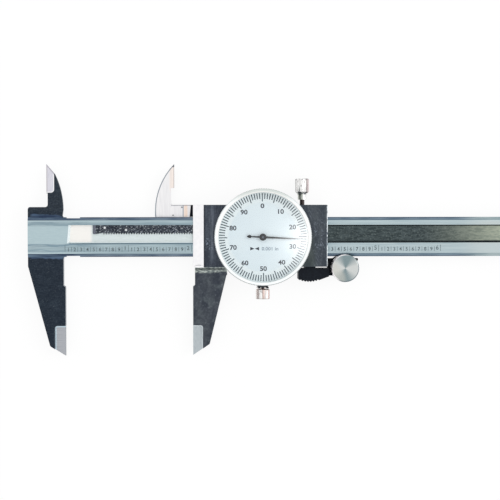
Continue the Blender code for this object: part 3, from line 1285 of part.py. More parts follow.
def make_roller(axis, holder, materials):
    """The wheel that rolls on the beam's lower edge, with the knob that the thumb turns."""
    bore = AXLE_RADIUS + SEAT_GAP
    hub_top = ROLLER_BACK_Z + ROLLER_THICKNESS
    section = [
        (bore, ROLLER_BACK_Z), (ROLLER_RADIUS - 0.2 * MM, ROLLER_BACK_Z), (ROLLER_RADIUS, ROLLER_BACK_Z + 0.2 * MM),
        (ROLLER_RADIUS, hub_top - 0.2 * MM), (ROLLER_RADIUS - 0.2 * MM, hub_top), (bore, hub_top),
    ]
    turned("roller_wheel", section, materials["black_plastic"], axis)
    top = KNOB_BACK_Z + KNOB_THICKNESS
    blind = top - 1.2 * MM
    neck = 2.6 * MM
    chamfer = 0.35 * MM
    section = [
        (0, blind), (bore, blind), (bore, hub_top + SEAT_GAP), (neck, hub_top + SEAT_GAP), (neck, KNOB_BACK_Z),
        (KNOB_RADIUS - chamfer, KNOB_BACK_Z), (KNOB_RADIUS, KNOB_BACK_Z + chamfer), (KNOB_RADIUS, top - chamfer),
        (KNOB_RADIUS - chamfer, top), (0, top),
    ]
    turned("roller_knob", section, materials["nickel"], axis)
    collar = 1.6 * MM
    collar_low = GRIP_BACK_Z + ARM_THICKNESS + SEAT_GAP
    section = [
        (0, GRIP_BACK_Z), (AXLE_RADIUS, GRIP_BACK_Z), (AXLE_RADIUS, collar_low), (collar, collar_low),
        (collar, ROLLER_BACK_Z - SEAT_GAP), (AXLE_RADIUS, ROLLER_BACK_Z - SEAT_GAP),
        (AXLE_RADIUS, blind - 0.2 * MM), (0, blind - 0.2 * MM),
    ]
    turned("roller_axle", section, materials["screw_steel"], holder, (ROLLER_X, ROLLER_Y, 0), faces=SMALL_SEGMENTS)


def build():
    for leftover in list(bpy.data.objects):
        bpy.data.objects.remove(leftover, do_unlink=True)
    materials = make_materials()
    beam = make_beam(materials)
    make_rack(beam, materials)
    make_end_plate(beam, materials)

    slider = empty("slider_slide", (0, 0, 0))
    frame = make_slider_frame(slider, materials)
    make_back_cover(frame, slider, materials)
    make_gib(frame, slider, materials)
    make_depth_rod(frame, slider, materials)

    gear_axis = empty("gear_turn", (GEAR_X, GEAR_Y, 0), slider)
    make_rack_pinion(gear_axis, materials)
    make_train_gear("drive_gear", DRIVE_BACK_Z, gear_axis, materials)
    make_train_gear("takeup_gear", TAKEUP_BACK_Z, gear_axis, materials)
    make_takeup_spring(gear_axis, materials)
    dial_axis = empty("needle_turn", (0, 0, 0), slider)
    make_centre_pinion(dial_axis, materials)
    make_needle(dial_axis, materials)
    make_bushes(slider, materials)
    make_bridge(frame, slider, materials)

    make_dial_case(frame, slider, materials)
    make_bezel(empty("bezel_turn", (0, 0, 0), slider), materials)
    make_bezel_lock(empty("bezel_lock_turn", (0, 0, SHOE_Z), slider), materials)
    make_slide_lock(frame, empty("slide_lock_turn", (LOCK_X, 0, LOCK_Z), slider), slider, materials)

    make_thumb_grip(frame, slider, materials)
    make_roller(empty("roller_turn", (ROLLER_X, ROLLER_Y, 0), slider), slider, materials)


build()
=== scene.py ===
import json
from math import cos, pi, radians, sin

import bpy
from mathutils import Matrix, Vector

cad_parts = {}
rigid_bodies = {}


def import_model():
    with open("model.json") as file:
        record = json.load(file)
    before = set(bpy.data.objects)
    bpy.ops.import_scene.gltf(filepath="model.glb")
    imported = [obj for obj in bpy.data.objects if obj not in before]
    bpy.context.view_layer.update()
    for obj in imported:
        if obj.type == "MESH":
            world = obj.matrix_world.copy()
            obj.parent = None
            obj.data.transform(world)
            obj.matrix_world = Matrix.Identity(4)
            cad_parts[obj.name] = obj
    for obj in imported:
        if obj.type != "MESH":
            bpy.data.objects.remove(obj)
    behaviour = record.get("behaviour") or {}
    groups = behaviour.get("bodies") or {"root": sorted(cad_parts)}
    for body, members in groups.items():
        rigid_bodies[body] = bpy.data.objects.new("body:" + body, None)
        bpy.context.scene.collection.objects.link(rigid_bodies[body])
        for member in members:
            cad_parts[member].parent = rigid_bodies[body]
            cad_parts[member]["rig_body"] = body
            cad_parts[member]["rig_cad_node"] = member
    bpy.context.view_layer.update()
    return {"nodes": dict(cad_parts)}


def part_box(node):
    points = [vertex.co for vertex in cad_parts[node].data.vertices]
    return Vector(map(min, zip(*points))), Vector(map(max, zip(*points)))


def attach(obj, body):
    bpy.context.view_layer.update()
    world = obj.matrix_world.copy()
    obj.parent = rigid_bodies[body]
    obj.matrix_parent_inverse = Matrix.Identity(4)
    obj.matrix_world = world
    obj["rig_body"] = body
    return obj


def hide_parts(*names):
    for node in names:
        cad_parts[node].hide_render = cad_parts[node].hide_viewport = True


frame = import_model()

# Table top: the plain white board that the caliper lies on, flat on the back
# cover of its slider. It keeps a faint shadow round the caliper.
MM = 0.001
TABLE_SIDE = 6.0
TABLE_GAP = 0.05
GLOW_STRENGTH, GLOW_SHARE = 1.02, 0.88
WHITE = (1, 1, 1, 1)


def tint(red, green, blue):
    """A colour as it is seen on a screen, 0 to 255, in the shader's own linear values."""
    levels = [level / 255 for level in (red, green, blue)]
    return (*[((level + 0.055) / 1.055) ** 2.4 if level > 0.04 else level / 12.92 for level in levels], 1)


class Wire:
    """One output of a shader node. Sums and products of wires and numbers add their own Math nodes."""

    def __init__(self, tree, socket=None):
        self.tree, self.socket = tree, socket

    def node(self, kind, settings, inputs, output=0):
        """Adds a node of this kind, sets it up, fills its sockets with values or wires, and gives one output."""
        made = self.tree.nodes.new(kind)
        for name, value in settings.items():
            setattr(made, name, value)
        for name, value in inputs.items():
            if isinstance(value, Wire):
                self.tree.links.new(value.socket, made.inputs[name])
            else:
                made.inputs[name].default_value = value
        return Wire(self.tree, made.outputs[output] if made.outputs else None)

    def out(self, name):
        """Another output of the same node."""
        return Wire(self.tree, self.socket.node.outputs[name])

    def maths(self, operation, *others):
        """A Math node on this wire and up to two more values."""
        return self.node("ShaderNodeMath", {"operation": operation}, dict(enumerate((self, *others))))

    def __add__(self, other):
        return self.maths("ADD", other)

    def __sub__(self, other):
        return self.maths("SUBTRACT", other)

    def __rsub__(self, other):
        return self.node("ShaderNodeMath", {"operation": "SUBTRACT"}, {0: other, 1: self})

    def __mul__(self, other):
        return self.maths("MULTIPLY", other)

    __radd__, __rmul__ = __add__, __mul__

    def above(self, level, soft=0.08):
        """1 where this is over the level and 0 where it is under it, with a soft step."""
        step = {"Value": self, "From Min": level - soft, "From Max": level + soft}
        return self.node("ShaderNodeMapRange", {"interpolation_type": "SMOOTHSTEP"}, step)

    def below(self, level, soft=0.08):
        return 1 - self.above(level, soft)

    def within(self, low, high, soft=0.08):
        return self.above(low, soft) * self.below(high, soft)

    def blend(self, first, second):
        """The first colour where this is 0 and the second where it is 1."""
        return self.node("ShaderNodeMix", {"data_type": "RGBA"}, {0: self, 6: first, 7: second}, 2)

    def axes(self):
        """The three parts of a place, in millimetres."""
        parts = self.node("ShaderNodeSeparateXYZ", {}, {0: self})
        return [parts.out(axis) for axis in "XYZ"]

    def turned(self, angle):
        """This place turned round the upright axis, for grain that runs aslant."""
        return self.node("ShaderNodeVectorRotate", {"rotation_type": "Z_AXIS"}, {"Vector": self, "Angle": angle})

    def noise(self, along_x, along_y, along_z, detail=2, low=0.35, high=0.65):
        """Cloudy grain from 0 to 1, with so many changes to the millimetre along each axis."""
        stretched = self.node(
            "ShaderNodeVectorMath", {"operation": "MULTIPLY"}, {0: self, 1: (along_x, along_y, along_z)}
        )
        cloud = self.node("ShaderNodeTexNoise", {}, {"Vector": stretched, "Scale": 1, "Detail": detail})
        return cloud.above((low + high) / 2, (high - low) / 2)

    def specks(self, every_way, detail=2, low=0.35, high=0.65):
        """The same cloudy grain, alike in every direction."""
        return self.noise(every_way, every_way, every_way, detail, low, high)


def new_finish(name, **fixed):
    """A material, the sockets of its shader by name, and the place of a point in millimetres."""
    finish = bpy.data.materials.new(name)
    finish.use_nodes = True
    tree = finish.node_tree
    tree.nodes.clear()
    made = Wire(tree).node("ShaderNodeBsdfPrincipled", {}, {})
    Wire(tree).node("ShaderNodeOutputMaterial", {}, {"Surface": made})
    for socket, value in fixed.items():
        made.socket.node.inputs[socket.replace("_", " ")].default_value = value
    corners = Wire(tree).node("ShaderNodeTexCoord", {}, {}, "Object")
    place = corners.node("ShaderNodeVectorMath", {"operation": "SCALE"}, {0: corners, "Scale": 1 / MM})
    return finish, made.socket.node.inputs, place


def link(socket, wire):
    wire.tree.links.new(wire.socket, socket)


def alone():
    """Leaves nothing selected, so that the next operator acts on the piece at hand alone."""
    bpy.ops.object.select_all(action="DESELECT")


def seen_or_mirrored(rays):
    """1 for rays from the camera and for those that metal and glass send on, and 0 for other light."""
    seen = rays.out("Is Camera Ray")
    for other_ray in ("Is Glossy Ray", "Is Transmission Ray"):
        seen = seen.maths("MAXIMUM", rays.out(other_ray))
    return seen


alone()
bpy.ops.mesh.primitive_plane_add(size=TABLE_SIDE, location=(0, 0, -TABLE_GAP * MM))
table = bpy.context.object
table.name = "table_top"
table_white, table_sockets, table_place = new_finish("table_white", Roughness=0.9, Specular_IOR_Level=0.0)
table_grain = table_place.specks(0.02)
link(table_sockets["Base Color"], table_grain.blend(tint(250, 250, 250), tint(253, 253, 253)))
board = Wire(table_place.tree, table_sockets["Base Color"].node.outputs[0])
shown_side = board.socket.links[0].to_socket
seen = seen_or_mirrored(board.node("ShaderNodeLightPath", {}, {}))
glow = board.node("ShaderNodeEmission", {}, {"Color": WHITE, "Strength": GLOW_STRENGTH})
link(shown_side, board.node("ShaderNodeMixShader", {}, {0: seen * GLOW_SHARE, 1: board, 2: glow}))
table.data.materials.append(table_white)

# Camera and light: the camera looks almost straight down from half a metre, and
# a white room with one soft lamp at the right lights the caliper.
PIVOT = Vector((50 * MM, 0, 3 * MM))
CAMERA_TILT = Vector((1.70, 2.71, 0.09))
CAMERA_SHIFT = (54.65 * MM, 5.54 * MM)
CAMERA_DISTANCE = 500 * MM
NEAREST_SEEN = 10 * MM
PHOTO_WIDTH = 500
PIXELS_PER_METRE = 2442.6
SENSOR = 36.0
ROOM_LEVEL = 0.82

turn = Matrix.Rotation(radians(CAMERA_TILT.length), 3, CAMERA_TILT.normalized()).transposed()
eye = PIVOT + turn @ Vector((-CAMERA_SHIFT[0], -CAMERA_SHIFT[1], CAMERA_DISTANCE))
bpy.ops.object.camera_add(location=eye, rotation=turn.to_euler())
camera = bpy.context.object
camera.data.sensor_width = SENSOR
camera.data.lens = PIXELS_PER_METRE * CAMERA_DISTANCE * SENSOR / PHOTO_WIDTH
camera.data.clip_start = NEAREST_SEEN
scene = bpy.context.scene
scene.camera = camera
scene.view_settings.view_transform = "Standard"

room = bpy.data.worlds.new("room")
scene.world = room
room.use_nodes = True
room.node_tree.nodes.clear()
looks = seen_or_mirrored(Wire(room.node_tree).node("ShaderNodeLightPath", {}, {}))
room_light = looks * (1 - ROOM_LEVEL) + ROOM_LEVEL
air = looks.node("ShaderNodeBackground", {}, {"Color": WHITE, "Strength": room_light})
air.node("ShaderNodeOutputWorld", {}, {"Surface": air})


def lamp(name, place, aim, side, power):
    """A square lamp, its place, aim and side in metres, that the camera doesn't see."""
    bpy.ops.object.light_add(type="AREA", location=place)
    light = bpy.context.object
    light.name = name
    light.rotation_euler = (Vector(aim) - Vector(place)).to_track_quat("-Z", "Y").to_euler()
    light.data.shape, light.data.size, light.data.energy = "SQUARE", side, power
    light.visible_camera = False
    return light


soft_lamp = lamp("soft_lamp", place=(1.6, 0.3, 1.0), aim=(0.02, 0, 0), side=1.0, power=9)

# Beam: one bar of hardened stainless steel with both fixed jaws, ground along its
# length, bevelled in front and grooved for the rack. The jaws are painted darker, a painted dark reflection.
SAME_POINT, SAME_PLANE, SHARP_EDGE = 0.001 * MM, radians(0.4), radians(40)
RELIEF, RELIEF_STRENGTH = 0.004 * MM, 0.6


def dress(node, finish, edge=0.06, steps=2, smooth=35, cutter=None):
    """Stands a copy of a CAD node, with its sharp edges broken, in the node's place and gives it its finish."""
    alone()
    solid = frame["nodes"][node]
    solid.select_set(True)
    bpy.context.view_layer.objects.active = solid
    bpy.ops.object.duplicate()
    piece = bpy.context.object
    piece.name = node + "_finished"
    del piece["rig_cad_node"]
    bpy.ops.object.mode_set(mode="EDIT")
    bpy.ops.mesh.select_all(action="SELECT")
    bpy.ops.mesh.remove_doubles(threshold=SAME_POINT)
    bpy.ops.mesh.dissolve_limited(angle_limit=SAME_PLANE)
    bpy.ops.object.mode_set(mode="OBJECT")
    if cutter:
        cut = piece.modifiers.new("cut", "BOOLEAN")
        cut.operation, cut.object, cut.solver = "DIFFERENCE", cutter, "EXACT"
        bpy.ops.object.modifier_apply(modifier=cut.name)
        bpy.data.objects.remove(cutter)
    if edge:
        broken = piece.modifiers.new("broken_edges", "BEVEL")
        broken.width, broken.segments = edge * MM, steps
        broken.limit_method, broken.angle_limit = "ANGLE", SHARP_EDGE
        bpy.ops.object.modifier_apply(modifier=broken.name)
    bpy.ops.object.shade_smooth_by_angle(angle=radians(smooth))
    weighted = piece.modifiers.new("flat_faces", "WEIGHTED_NORMAL")
    weighted.keep_sharp = True
    bpy.ops.object.modifier_apply(modifier=weighted.name)
    piece.data.materials.clear()
    piece.data.materials.append(finish)
    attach(piece, solid["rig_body"])
    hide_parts(node)
    return piece


def roughen(sockets, grain, smooth, rough):
    """Roughness that follows the grain, and the grain as a fine relief."""
    link(sockets["Roughness"], grain * (rough - smooth) + smooth)
    relief = {"Height": grain, "Distance": RELIEF, "Strength": RELIEF_STRENGTH}
    link(sockets["Normal"], grain.node("ShaderNodeBump", {}, relief))


def upward(place):
    """How far a face looks to the front: 1 on the front, 0 on a side."""
    return place.node("ShaderNodeNewGeometry", {}, {}, "Normal").axes()[2]


def distance(across, up):
    """How far a point is from the middle that across and up are counted from."""
    return (across * across + up * up).maths("SQRT")


def past(along, centre, side):
    """How far a point is past a centre on one side, and 0 before it."""
    return ((along - centre) * side).maths("MAXIMUM", 0.0)


FIXED_FACE = -79.36
BEVEL_LAND, BEVEL_DARK, BEVEL_INNER = 6.7, 7.62, 7.0
GROOVE_TOP, GROOVE_BOTTOM, GROOVE_END, GROOVE_RIM = 4.83, -2.47, -77.9, 4.9
FAR_LEFT, RIGHT_HALF, RIGHT_END = -71, 26, 86
beam_finish, beam_sockets, place = new_finish("beam_ground_steel", Metallic=1.0)
x, y, z = place.axes()
edge_y = y.maths("ABSOLUTE")
lines = place.noise(0.10, 5.0, 1.0, 3)
fine = place.noise(0.5, 9.0, 1.0)
streaks = place.noise(0.10, 0.8, 0.8, 3, 0.3, 0.7)
clouds = place.noise(0.05, 0.25, 0.25)
far_left, right_half, right_end = x.below(FAR_LEFT, 7), x.above(RIGHT_HALF, 6), x.above(RIGHT_END, 8)
wavy = y + (place.noise(0.14, 0.05, 0.05, 2, 0.2, 0.8) - 0.5) * far_left * 1.3

# The front above and below the groove: fine ground lines, with rubbed bands at the left.
UPPER_BAND, UPPER_EDGE = (4.5, 5.6), (6.15, 6.6)
LOWER_BAND, LOWER_LINE, LOWER_EDGE = (-3.5, -2.8), (-5.6, -5.2), (-6.65, -6.2)
BLOCK_SIDE, GROOVE_SHADOW_START, GROOVE_SHADOW_END = (-2.8, 4.4), -76, 10
land = lines.blend(tint(166, 186, 192), tint(143, 162, 171))
land = (right_half * 0.9).blend(land, lines.blend(tint(186, 200, 203), tint(166, 183, 189)))
land = right_end.blend(land, tint(192, 202, 202))
land = (clouds * 0.35).blend(land, tint(184, 201, 206))
land = (wavy.within(*UPPER_BAND, 0.25) * (1 - right_half) * 0.55).blend(land, tint(126, 148, 160))
land = (y.within(*UPPER_EDGE, 0.12) * 0.4).blend(land, tint(190, 208, 213))
land = (far_left * wavy.within(*LOWER_BAND, 0.2) * 0.7).blend(land, tint(118, 142, 157))
land = (far_left * wavy.within(*LOWER_LINE, 0.2) * 0.5).blend(land, tint(122, 146, 160))
land = (far_left * y.within(*LOWER_EDGE, 0.12) * 0.8).blend(land, tint(192, 211, 216))
block = fine.blend(tint(182, 201, 206), tint(174, 194, 200))
land = (x.below(GROOVE_END, 0.3) * y.within(*BLOCK_SIDE, 0.3)).blend(land, block)
# A dark line under the groove's lower edge is a painted shadow.
groove_edge_shadow = y.within(GROOVE_BOTTOM - 0.42, GROOVE_BOTTOM + 0.05)
land = (groove_edge_shadow * x.above(GROOVE_SHADOW_START, 5) * x.below(GROOVE_SHADOW_END, 8) * 0.9).blend(land, tint(74, 102, 118))

# The bevels along both edges, painted dark as a dark reflection, darkest at the outer edge.
bevel = streaks.blend(tint(78, 94, 114), tint(126, 142, 156))
bevel = (edge_y.above(BEVEL_DARK, 0.15) * 0.75).blend(bevel, tint(48, 62, 84))
bevel = (edge_y.below(BEVEL_INNER, 0.1) * 0.6).blend(bevel, tint(58, 76, 94))
bevel = (right_half * 0.2).blend(bevel, tint(122, 150, 162))
bevel = x.below(FAR_LEFT - 1, 5).blend(bevel, streaks.blend(tint(52, 66, 88), tint(96, 115, 134)))
bevel = (far_left * edge_y.below(BEVEL_INNER + 0.05, 0.12) * 0.7).blend(bevel, tint(42, 52, 76))
bevel = right_end.blend(bevel, streaks.blend(tint(136, 156, 162), tint(168, 182, 184)))
front = edge_y.above(BEVEL_LAND + 0.05, 0.06).blend(land, bevel)

# The groove's floor: bright and bare at the left, in shade beside the depth rod.
BARE_END, SHADE_START, ROD_LOWER_EDGE = -68.9, 14, -2.05
groove_floor = fine.blend(tint(212, 223, 224), tint(222, 231, 232))
groove_floor = (place.specks(0.9, 2, 0.5, 0.7) * 0.3).blend(groove_floor, tint(203, 216, 208))
groove_floor = x.below(BARE_END, 0.8).blend(groove_floor, tint(247, 245, 241))
groove_floor = (y.below(GROOVE_BOTTOM + 0.4) * 0.8).blend(groove_floor, tint(240, 251, 252))
shade = y.above(ROD_LOWER_EDGE, 0.06).blend(tint(20, 24, 28), tint(68, 77, 79))
groove_floor = x.above(SHADE_START, 12).blend(groove_floor, shade)
in_groove = y.within(GROOVE_BOTTOM, GROOVE_TOP, 0.06) * z.below(GROOVE_RIM, 0.1) * x.above(GROOVE_END - 0.1, 0.05)
front = in_groove.blend(front, groove_floor)

# The jaws: dark and scratched, their darkness a painted dark reflection, with the run-out of the beam's grinding
# across their roots.
JAW_ROOT, JAW_RIGHT, INSIDE_JAW = 8.15, -75.5, 10
RUN_OUT, RUN_OUT_HEIGHT, CREST = (-93.0, -79.7), (7.9, 10.2), (6.6, 7.8)
scratches = place.noise(0.25, 3.5, 0.6, 3)
jaw = scratches.blend(tint(41, 49, 58), tint(52, 60, 70))
jaw = (y.above(INSIDE_JAW, 1) * 0.7).blend(jaw, scratches.blend(tint(54, 60, 66), tint(64, 72, 80)))
jaw = (place.specks(0.2, 3, 0.45, 0.75) * 0.6).blend(jaw, tint(60, 70, 80))
jaw = (place.specks(1.4, 3, 0.4, 0.6) * 0.45).blend(jaw, tint(26, 34, 46))
jaw = (place.specks(1.6, 3, 0.62, 0.72) * 0.5).blend(jaw, tint(104, 112, 116))
on_jaw = edge_y.above(JAW_ROOT, 0.12) * x.below(JAW_RIGHT, 0.5)
crest = (edge_y - place.noise(0.16, 0.05, 0.05, 2, 0.2, 0.8) * 1.9).within(*CREST, 0.3)
run_out = x.within(*RUN_OUT, 0.8) * crest * edge_y.within(*RUN_OUT_HEIGHT, 0.2)
jaw = (run_out * 0.85).blend(jaw, streaks.blend(tint(48, 62, 86), tint(88, 108, 134)))

# The outside jaw's thinned blade, with a rounded inner corner, bright from grinding.
BLADE_TOP, BLADE_IN, CORNER, BLADES_BELOW = -35.9, 4.3, 0.9, -30
blade = lines.blend(tint(178, 181, 186), tint(164, 167, 173))
corner = distance(past(x, FIXED_FACE - BLADE_IN + CORNER, -1), past(y, BLADE_TOP - CORNER, 1))
blade = corner.within(CORNER - 0.55, CORNER - 0.05, 0.1).blend(blade, tint(192, 212, 222))
jaw = (corner.below(CORNER) * y.below(BLADES_BELOW)).blend(jaw, blade)

# The inside jaw's knife: bright, with a rounded corner and a grey slanted edge.
KNIFE_IN, KNIFE_BOTTOM, KNIFE_EDGE, KNIFE_CORNER, KNIVES_ABOVE = 3.25, 17.9, -86.91, 1.4, 15
SLANT, SLANT_EDGE, KNIFE_BACK_HIGHLIGHT = 1.17, 28.88, (10.0, 24.0)
knife = place.noise(3.0, 0.25, 0.5).blend(tint(222, 220, 228), tint(210, 210, 220))
knife = x.below(KNIFE_EDGE + 0.45, 0.1).blend(knife, tint(196, 192, 198))
ring = distance(past(x, KNIFE_EDGE + KNIFE_IN - KNIFE_CORNER, 1), past(y, KNIFE_BOTTOM + KNIFE_CORNER, -1))
knife = ring.above(KNIFE_CORNER - 0.35, 0.12).blend(knife, tint(250, 250, 252))
knife = (y + x * SLANT).above(SLANT_EDGE + KNIFE_EDGE * SLANT, 0.1).blend(knife, tint(186, 182, 192))
jaw = (ring.below(KNIFE_CORNER) * y.above(KNIVES_ABOVE)).blend(jaw, knife)
# A blue painted highlight along the inside jaw's back edge.
knife_back_highlight = x.above(FIXED_FACE - 0.74, 0.15) * y.within(*KNIFE_BACK_HIGHLIGHT, 2.0)
jaw = (knife_back_highlight * 0.5).blend(jaw, tint(36, 62, 96))
beam_colour = on_jaw.blend(front, jaw)
# The sides are painted darker than the front, as painted shade.
beam_colour = (upward(place).below(0.45, 0.2) * (1 - in_groove)).blend(beam_colour, tint(84, 96, 108))
groove_start = (x - y * 0.085).within(GROOVE_END - 0.42, GROOVE_END + 0.18, 0.1)
groove_start = groove_start * y.within(GROOVE_BOTTOM, GROOVE_TOP, 0.1)
beam_colour = groove_start.blend(beam_colour, tint(240, 248, 250))
link(beam_sockets["Base Color"], beam_colour)
roughen(beam_sockets, lines, 0.30, 0.40)
dress("beam", beam_finish, edge=0.10)

# Inch scale: tenths and inches cut into the front of the beam below the groove and
# filled with grey wax, with small figures before each tenth and large ones before the inches.
INCH = 25.4
LAND_TOP = 5.5
CUT_RISE = 0.012
FIGURE_SHARE = 0.72


def printed(words, height, middle, top, finish, heavier=0.0, wider=1.0):
    """Figures as flat print on a face: so high, centred at a place, in millimetres."""
    alone()
    bpy.ops.object.text_add()
    text = bpy.context.object
    text.data.body = words
    text.data.size = height / FIGURE_SHARE * MM
    text.data.align_x, text.data.align_y = "CENTER", "BOTTOM_BASELINE"
    text.data.resolution_u = 3
    text.data.offset = heavier * MM
    text.data.extrude = CUT_RISE / 2 * MM
    bpy.ops.object.convert(target="MESH")
    corners = [v.co.copy() for v in text.data.vertices]
    wide = (min(c.x for c in corners) + max(c.x for c in corners)) / 2
    text.data.transform(
        Matrix.Translation(Vector((middle[0] * MM, (middle[1] - height / 2) * MM, top * MM)))
        @ Matrix.Diagonal((wider, 1, 1, 1))
        @ Matrix.Translation(Vector((-wide, 0, 0)))
    )
    text.data.materials.clear()
    text.data.materials.append(finish)
    return text


def copy_to(piece, move):
    """A copy of a small piece, with its own mesh, put at its place."""
    copied = piece.copy()
    copied.data = piece.data.copy()
    copied.data.transform(move)
    scene.collection.objects.link(copied)
    return copied


def gather(pieces, name, body):
    """Joins the small pieces into one, which rides on a body."""
    alone()
    for small in pieces:
        small.select_set(True)
    bpy.context.view_layer.objects.active = pieces[0]
    bpy.ops.object.join()
    joined = bpy.context.object
    joined.name = name
    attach(joined, body)
    return joined


def close_outwards():
    """Points all faces of the mesh in edit mode outwards, and leaves edit mode."""
    bpy.ops.mesh.select_all(action="SELECT")
    bpy.ops.mesh.normals_make_consistent(inside=False)
    bpy.ops.object.mode_set(mode="OBJECT")


def stroke(width, length, finish, rise=CUT_RISE, taper=0.15):
    """One raised line with sloping sides, standing on its lower end at the origin."""
    alone()
    bpy.ops.mesh.primitive_plane_add(size=1)
    line = bpy.context.object
    bpy.ops.object.mode_set(mode="EDIT")
    bpy.ops.transform.resize(value=(width * MM, length * MM, 1))
    bpy.ops.transform.translate(value=(0, length / 2 * MM, 0))
    bpy.ops.mesh.extrude_region_move(TRANSFORM_OT_translate={"value": (0, 0, rise * MM)})
    bpy.ops.transform.resize(value=(1 - taper, 1 - taper * width / length, 1))
    close_outwards()
    line.data.materials.append(finish)
    return line


wax, wax_sockets, wax_place = new_finish("grey_wax", Roughness=0.6)
link(wax_sockets["Base Color"], wax_place.noise(0.6, 1.5, 1).blend(tint(62, 76, 82), tint(108, 122, 126)))
TICK_BOTTOM, TICK_WIDTH, TICK_LENGTH = -5.9, 0.17, 1.9
INCH_TICK_WIDTH, INCH_TICK_LENGTH = 0.18, 2.6
TENTH_FIGURE, TENTH_FIGURE_AT = 1.5, (-1.2, -4.95)
INCH_FIGURE, INCH_FIGURE_AT = 1.75, (-1.3, -4.45)
SCALE_TENTHS = 60
marks = []
tick, long_tick = stroke(TICK_WIDTH, TICK_LENGTH, wax), stroke(INCH_TICK_WIDTH, INCH_TICK_LENGTH, wax)
tenth_figures = {n: printed(str(n), TENTH_FIGURE, (0, 0), LAND_TOP, wax, heavier=0.04) for n in range(1, 10)}
inch_figures = {n: printed(str(n), INCH_FIGURE, (0, 0), LAND_TOP, wax, heavier=0.03) for n in range(1, 7)}
for tenth in range(SCALE_TENTHS + 1):
    at = FIXED_FACE + tenth * INCH / 10
    inch, part = divmod(tenth, 10)
    line = tick if part else long_tick
    marks.append(copy_to(line, Matrix.Translation((at * MM, TICK_BOTTOM * MM, LAND_TOP * MM))))
    if part or inch:
        figure = tenth_figures[part] if part else inch_figures[inch]
        figure_x, figure_y = TENTH_FIGURE_AT if part else INCH_FIGURE_AT
        marks.append(copy_to(figure, Matrix.Translation(((at + figure_x) * MM, figure_y * MM, 0))))
for spare in [tick, long_tick, *tenth_figures.values(), *inch_figures.values()]:
    bpy.data.objects.remove(spare)
gather(marks, "inch_scale", "beam")

# Rack: a strip of cut steel screwed to the floor of the groove, with its teeth
# downwards. It is left as the cutter leaves it, dark and scratched.
RACK_END = -67.1
SCREW_GLINTS = ((-63.5, 3.75), (-54.95, 2.85))
rack_finish, sockets, place = new_finish("rack_cut_steel", Metallic=1.0)
x, y = place.axes()[:2]
cut = place.noise(1.2, 1.9, 1.0, 3)
rack = cut.blend(tint(36, 41, 50), tint(70, 76, 84))
rack = (place.turned(0.75).noise(3.2, 0.5, 1.0, 3, 0.56, 0.68) * 0.75).blend(rack, tint(150, 158, 168))
rack = (place.turned(-0.9).noise(3.2, 0.6, 1.0, 3, 0.60, 0.70) * 0.6).blend(rack, tint(150, 150, 160))
rack = (place.specks(1.6, 3, 0.58, 0.68) * 0.6).blend(rack, tint(204, 212, 214))
rack = (x.below(RACK_END, 0.2) * 0.75).blend(rack, tint(118, 122, 134))
for spot_x, spot_y in SCREW_GLINTS:
    rack = distance(x - spot_x, y - spot_y).below(0.46, 0.12).blend(rack, tint(232, 236, 238))
link(sockets["Base Color"], rack)
roughen(sockets, cut, 0.30, 0.45)
dress("rack", rack_finish, edge=0)


def steel(name, light, dark, along=(0.12, 3.0, 3.0)):
    """Machined steel in two tones that run with the cut."""
    finish, sockets, here = new_finish(name, Metallic=1.0)
    cut = here.noise(*along, 3)
    link(sockets["Base Color"], cut.blend(tint(*dark), tint(*light)))
    roughen(sockets, cut, 0.30, 0.45)
    return finish


BAR_LENGTH = 6


def driver_slot(node, facing, width, depth, angle):
    """The bar that cuts a screwdriver slot across a screw's head, which looks along an axis, such as "+z"."""
    low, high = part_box(node)
    axis = "xyz".index(facing[1])
    middle = [(low[k] + high[k]) / 2 for k in range(3)]
    middle[axis] = high[axis] if facing[0] == "+" else low[axis]
    alone()
    bpy.ops.mesh.primitive_cube_add(size=1, location=middle)
    bar = bpy.context.object
    bar.scale = [BAR_LENGTH * MM if k == (axis + 1) % 3 else width * MM for k in range(3)]
    bar.scale[axis] = 2 * depth * MM
    bar.rotation_euler[axis] = radians(angle)
    bpy.ops.object.transform_apply(location=True, rotation=True, scale=True)
    return bar


screw_head = steel("small_screw_steel", (206, 206, 204), (150, 152, 154), (1.0, 1.0, 1.0))


def small_screw(node, facing, angle=25, width=0.4, depth=0.35, edge=0.04, finish=screw_head):
    """A slotted screw, its slot so wide and deep and at an angle, as the last turn of the driver left it."""
    dress(node, finish, edge, cutter=driver_slot(node, facing, width, depth, angle))


for number in (1, 2, 3, 4):
    finish = rack_finish if number < 3 else screw_head
    small_screw(f"rack_screw_{number}", "+z", 20 + 50 * number, 0.28, 0.2, 0.03, finish)

# End plate: a small steel plate with two screws at the beam's right end, which stops
# the slider from running off the beam.
dress("end_plate", steel("plate_steel", (196, 198, 200), (168, 171, 174)), edge=0.08)
for number in (1, 2):
    small_screw(f"end_plate_screw_{number}", "+z", 35 * number, 0.3, 0.25)

# Slider: the milled steel frame that runs on the beam, with the moving jaws in one
# piece with it, a reading strip at its left edge painted white as a painted reflection, and a matt, dark ground
# front.
MOVING_FACE = -27.9
STRIP_RIGHT, STRIP_BOTTOM = -23.6, -12.3
PLATE_BOTTOM, PLATE_LEFT, PLATE_RIGHT = -12.05, -22.9, 26.2
FILLET, FILLET_RISE, FILLET_RIGHT = (-14.3, -11.9), (4.5, 8.2), -3.5


def patch(x, y, across, up, soft_x, soft_y):
    """1 inside a soft-edged rectangle of a face, which two ranges in millimetres give."""
    return x.within(*across, soft_x) * y.within(*up, soft_y)


slider_finish, slider_sockets, place = new_finish("slider_ground_steel", Metallic=1.0)
x, y, z = place.axes()
smear = place.noise(0.30, 0.10, 0.3, 4)
specks = place.specks(1.1, 3, 0.60, 0.74)
dents = place.specks(1.3, 3, 0.4, 0.6)
upright = place.noise(2.2, 0.12, 0.5, 3)
hairs = place.noise(3.4, 0.14, 0.5, 3, 0.55, 0.72)
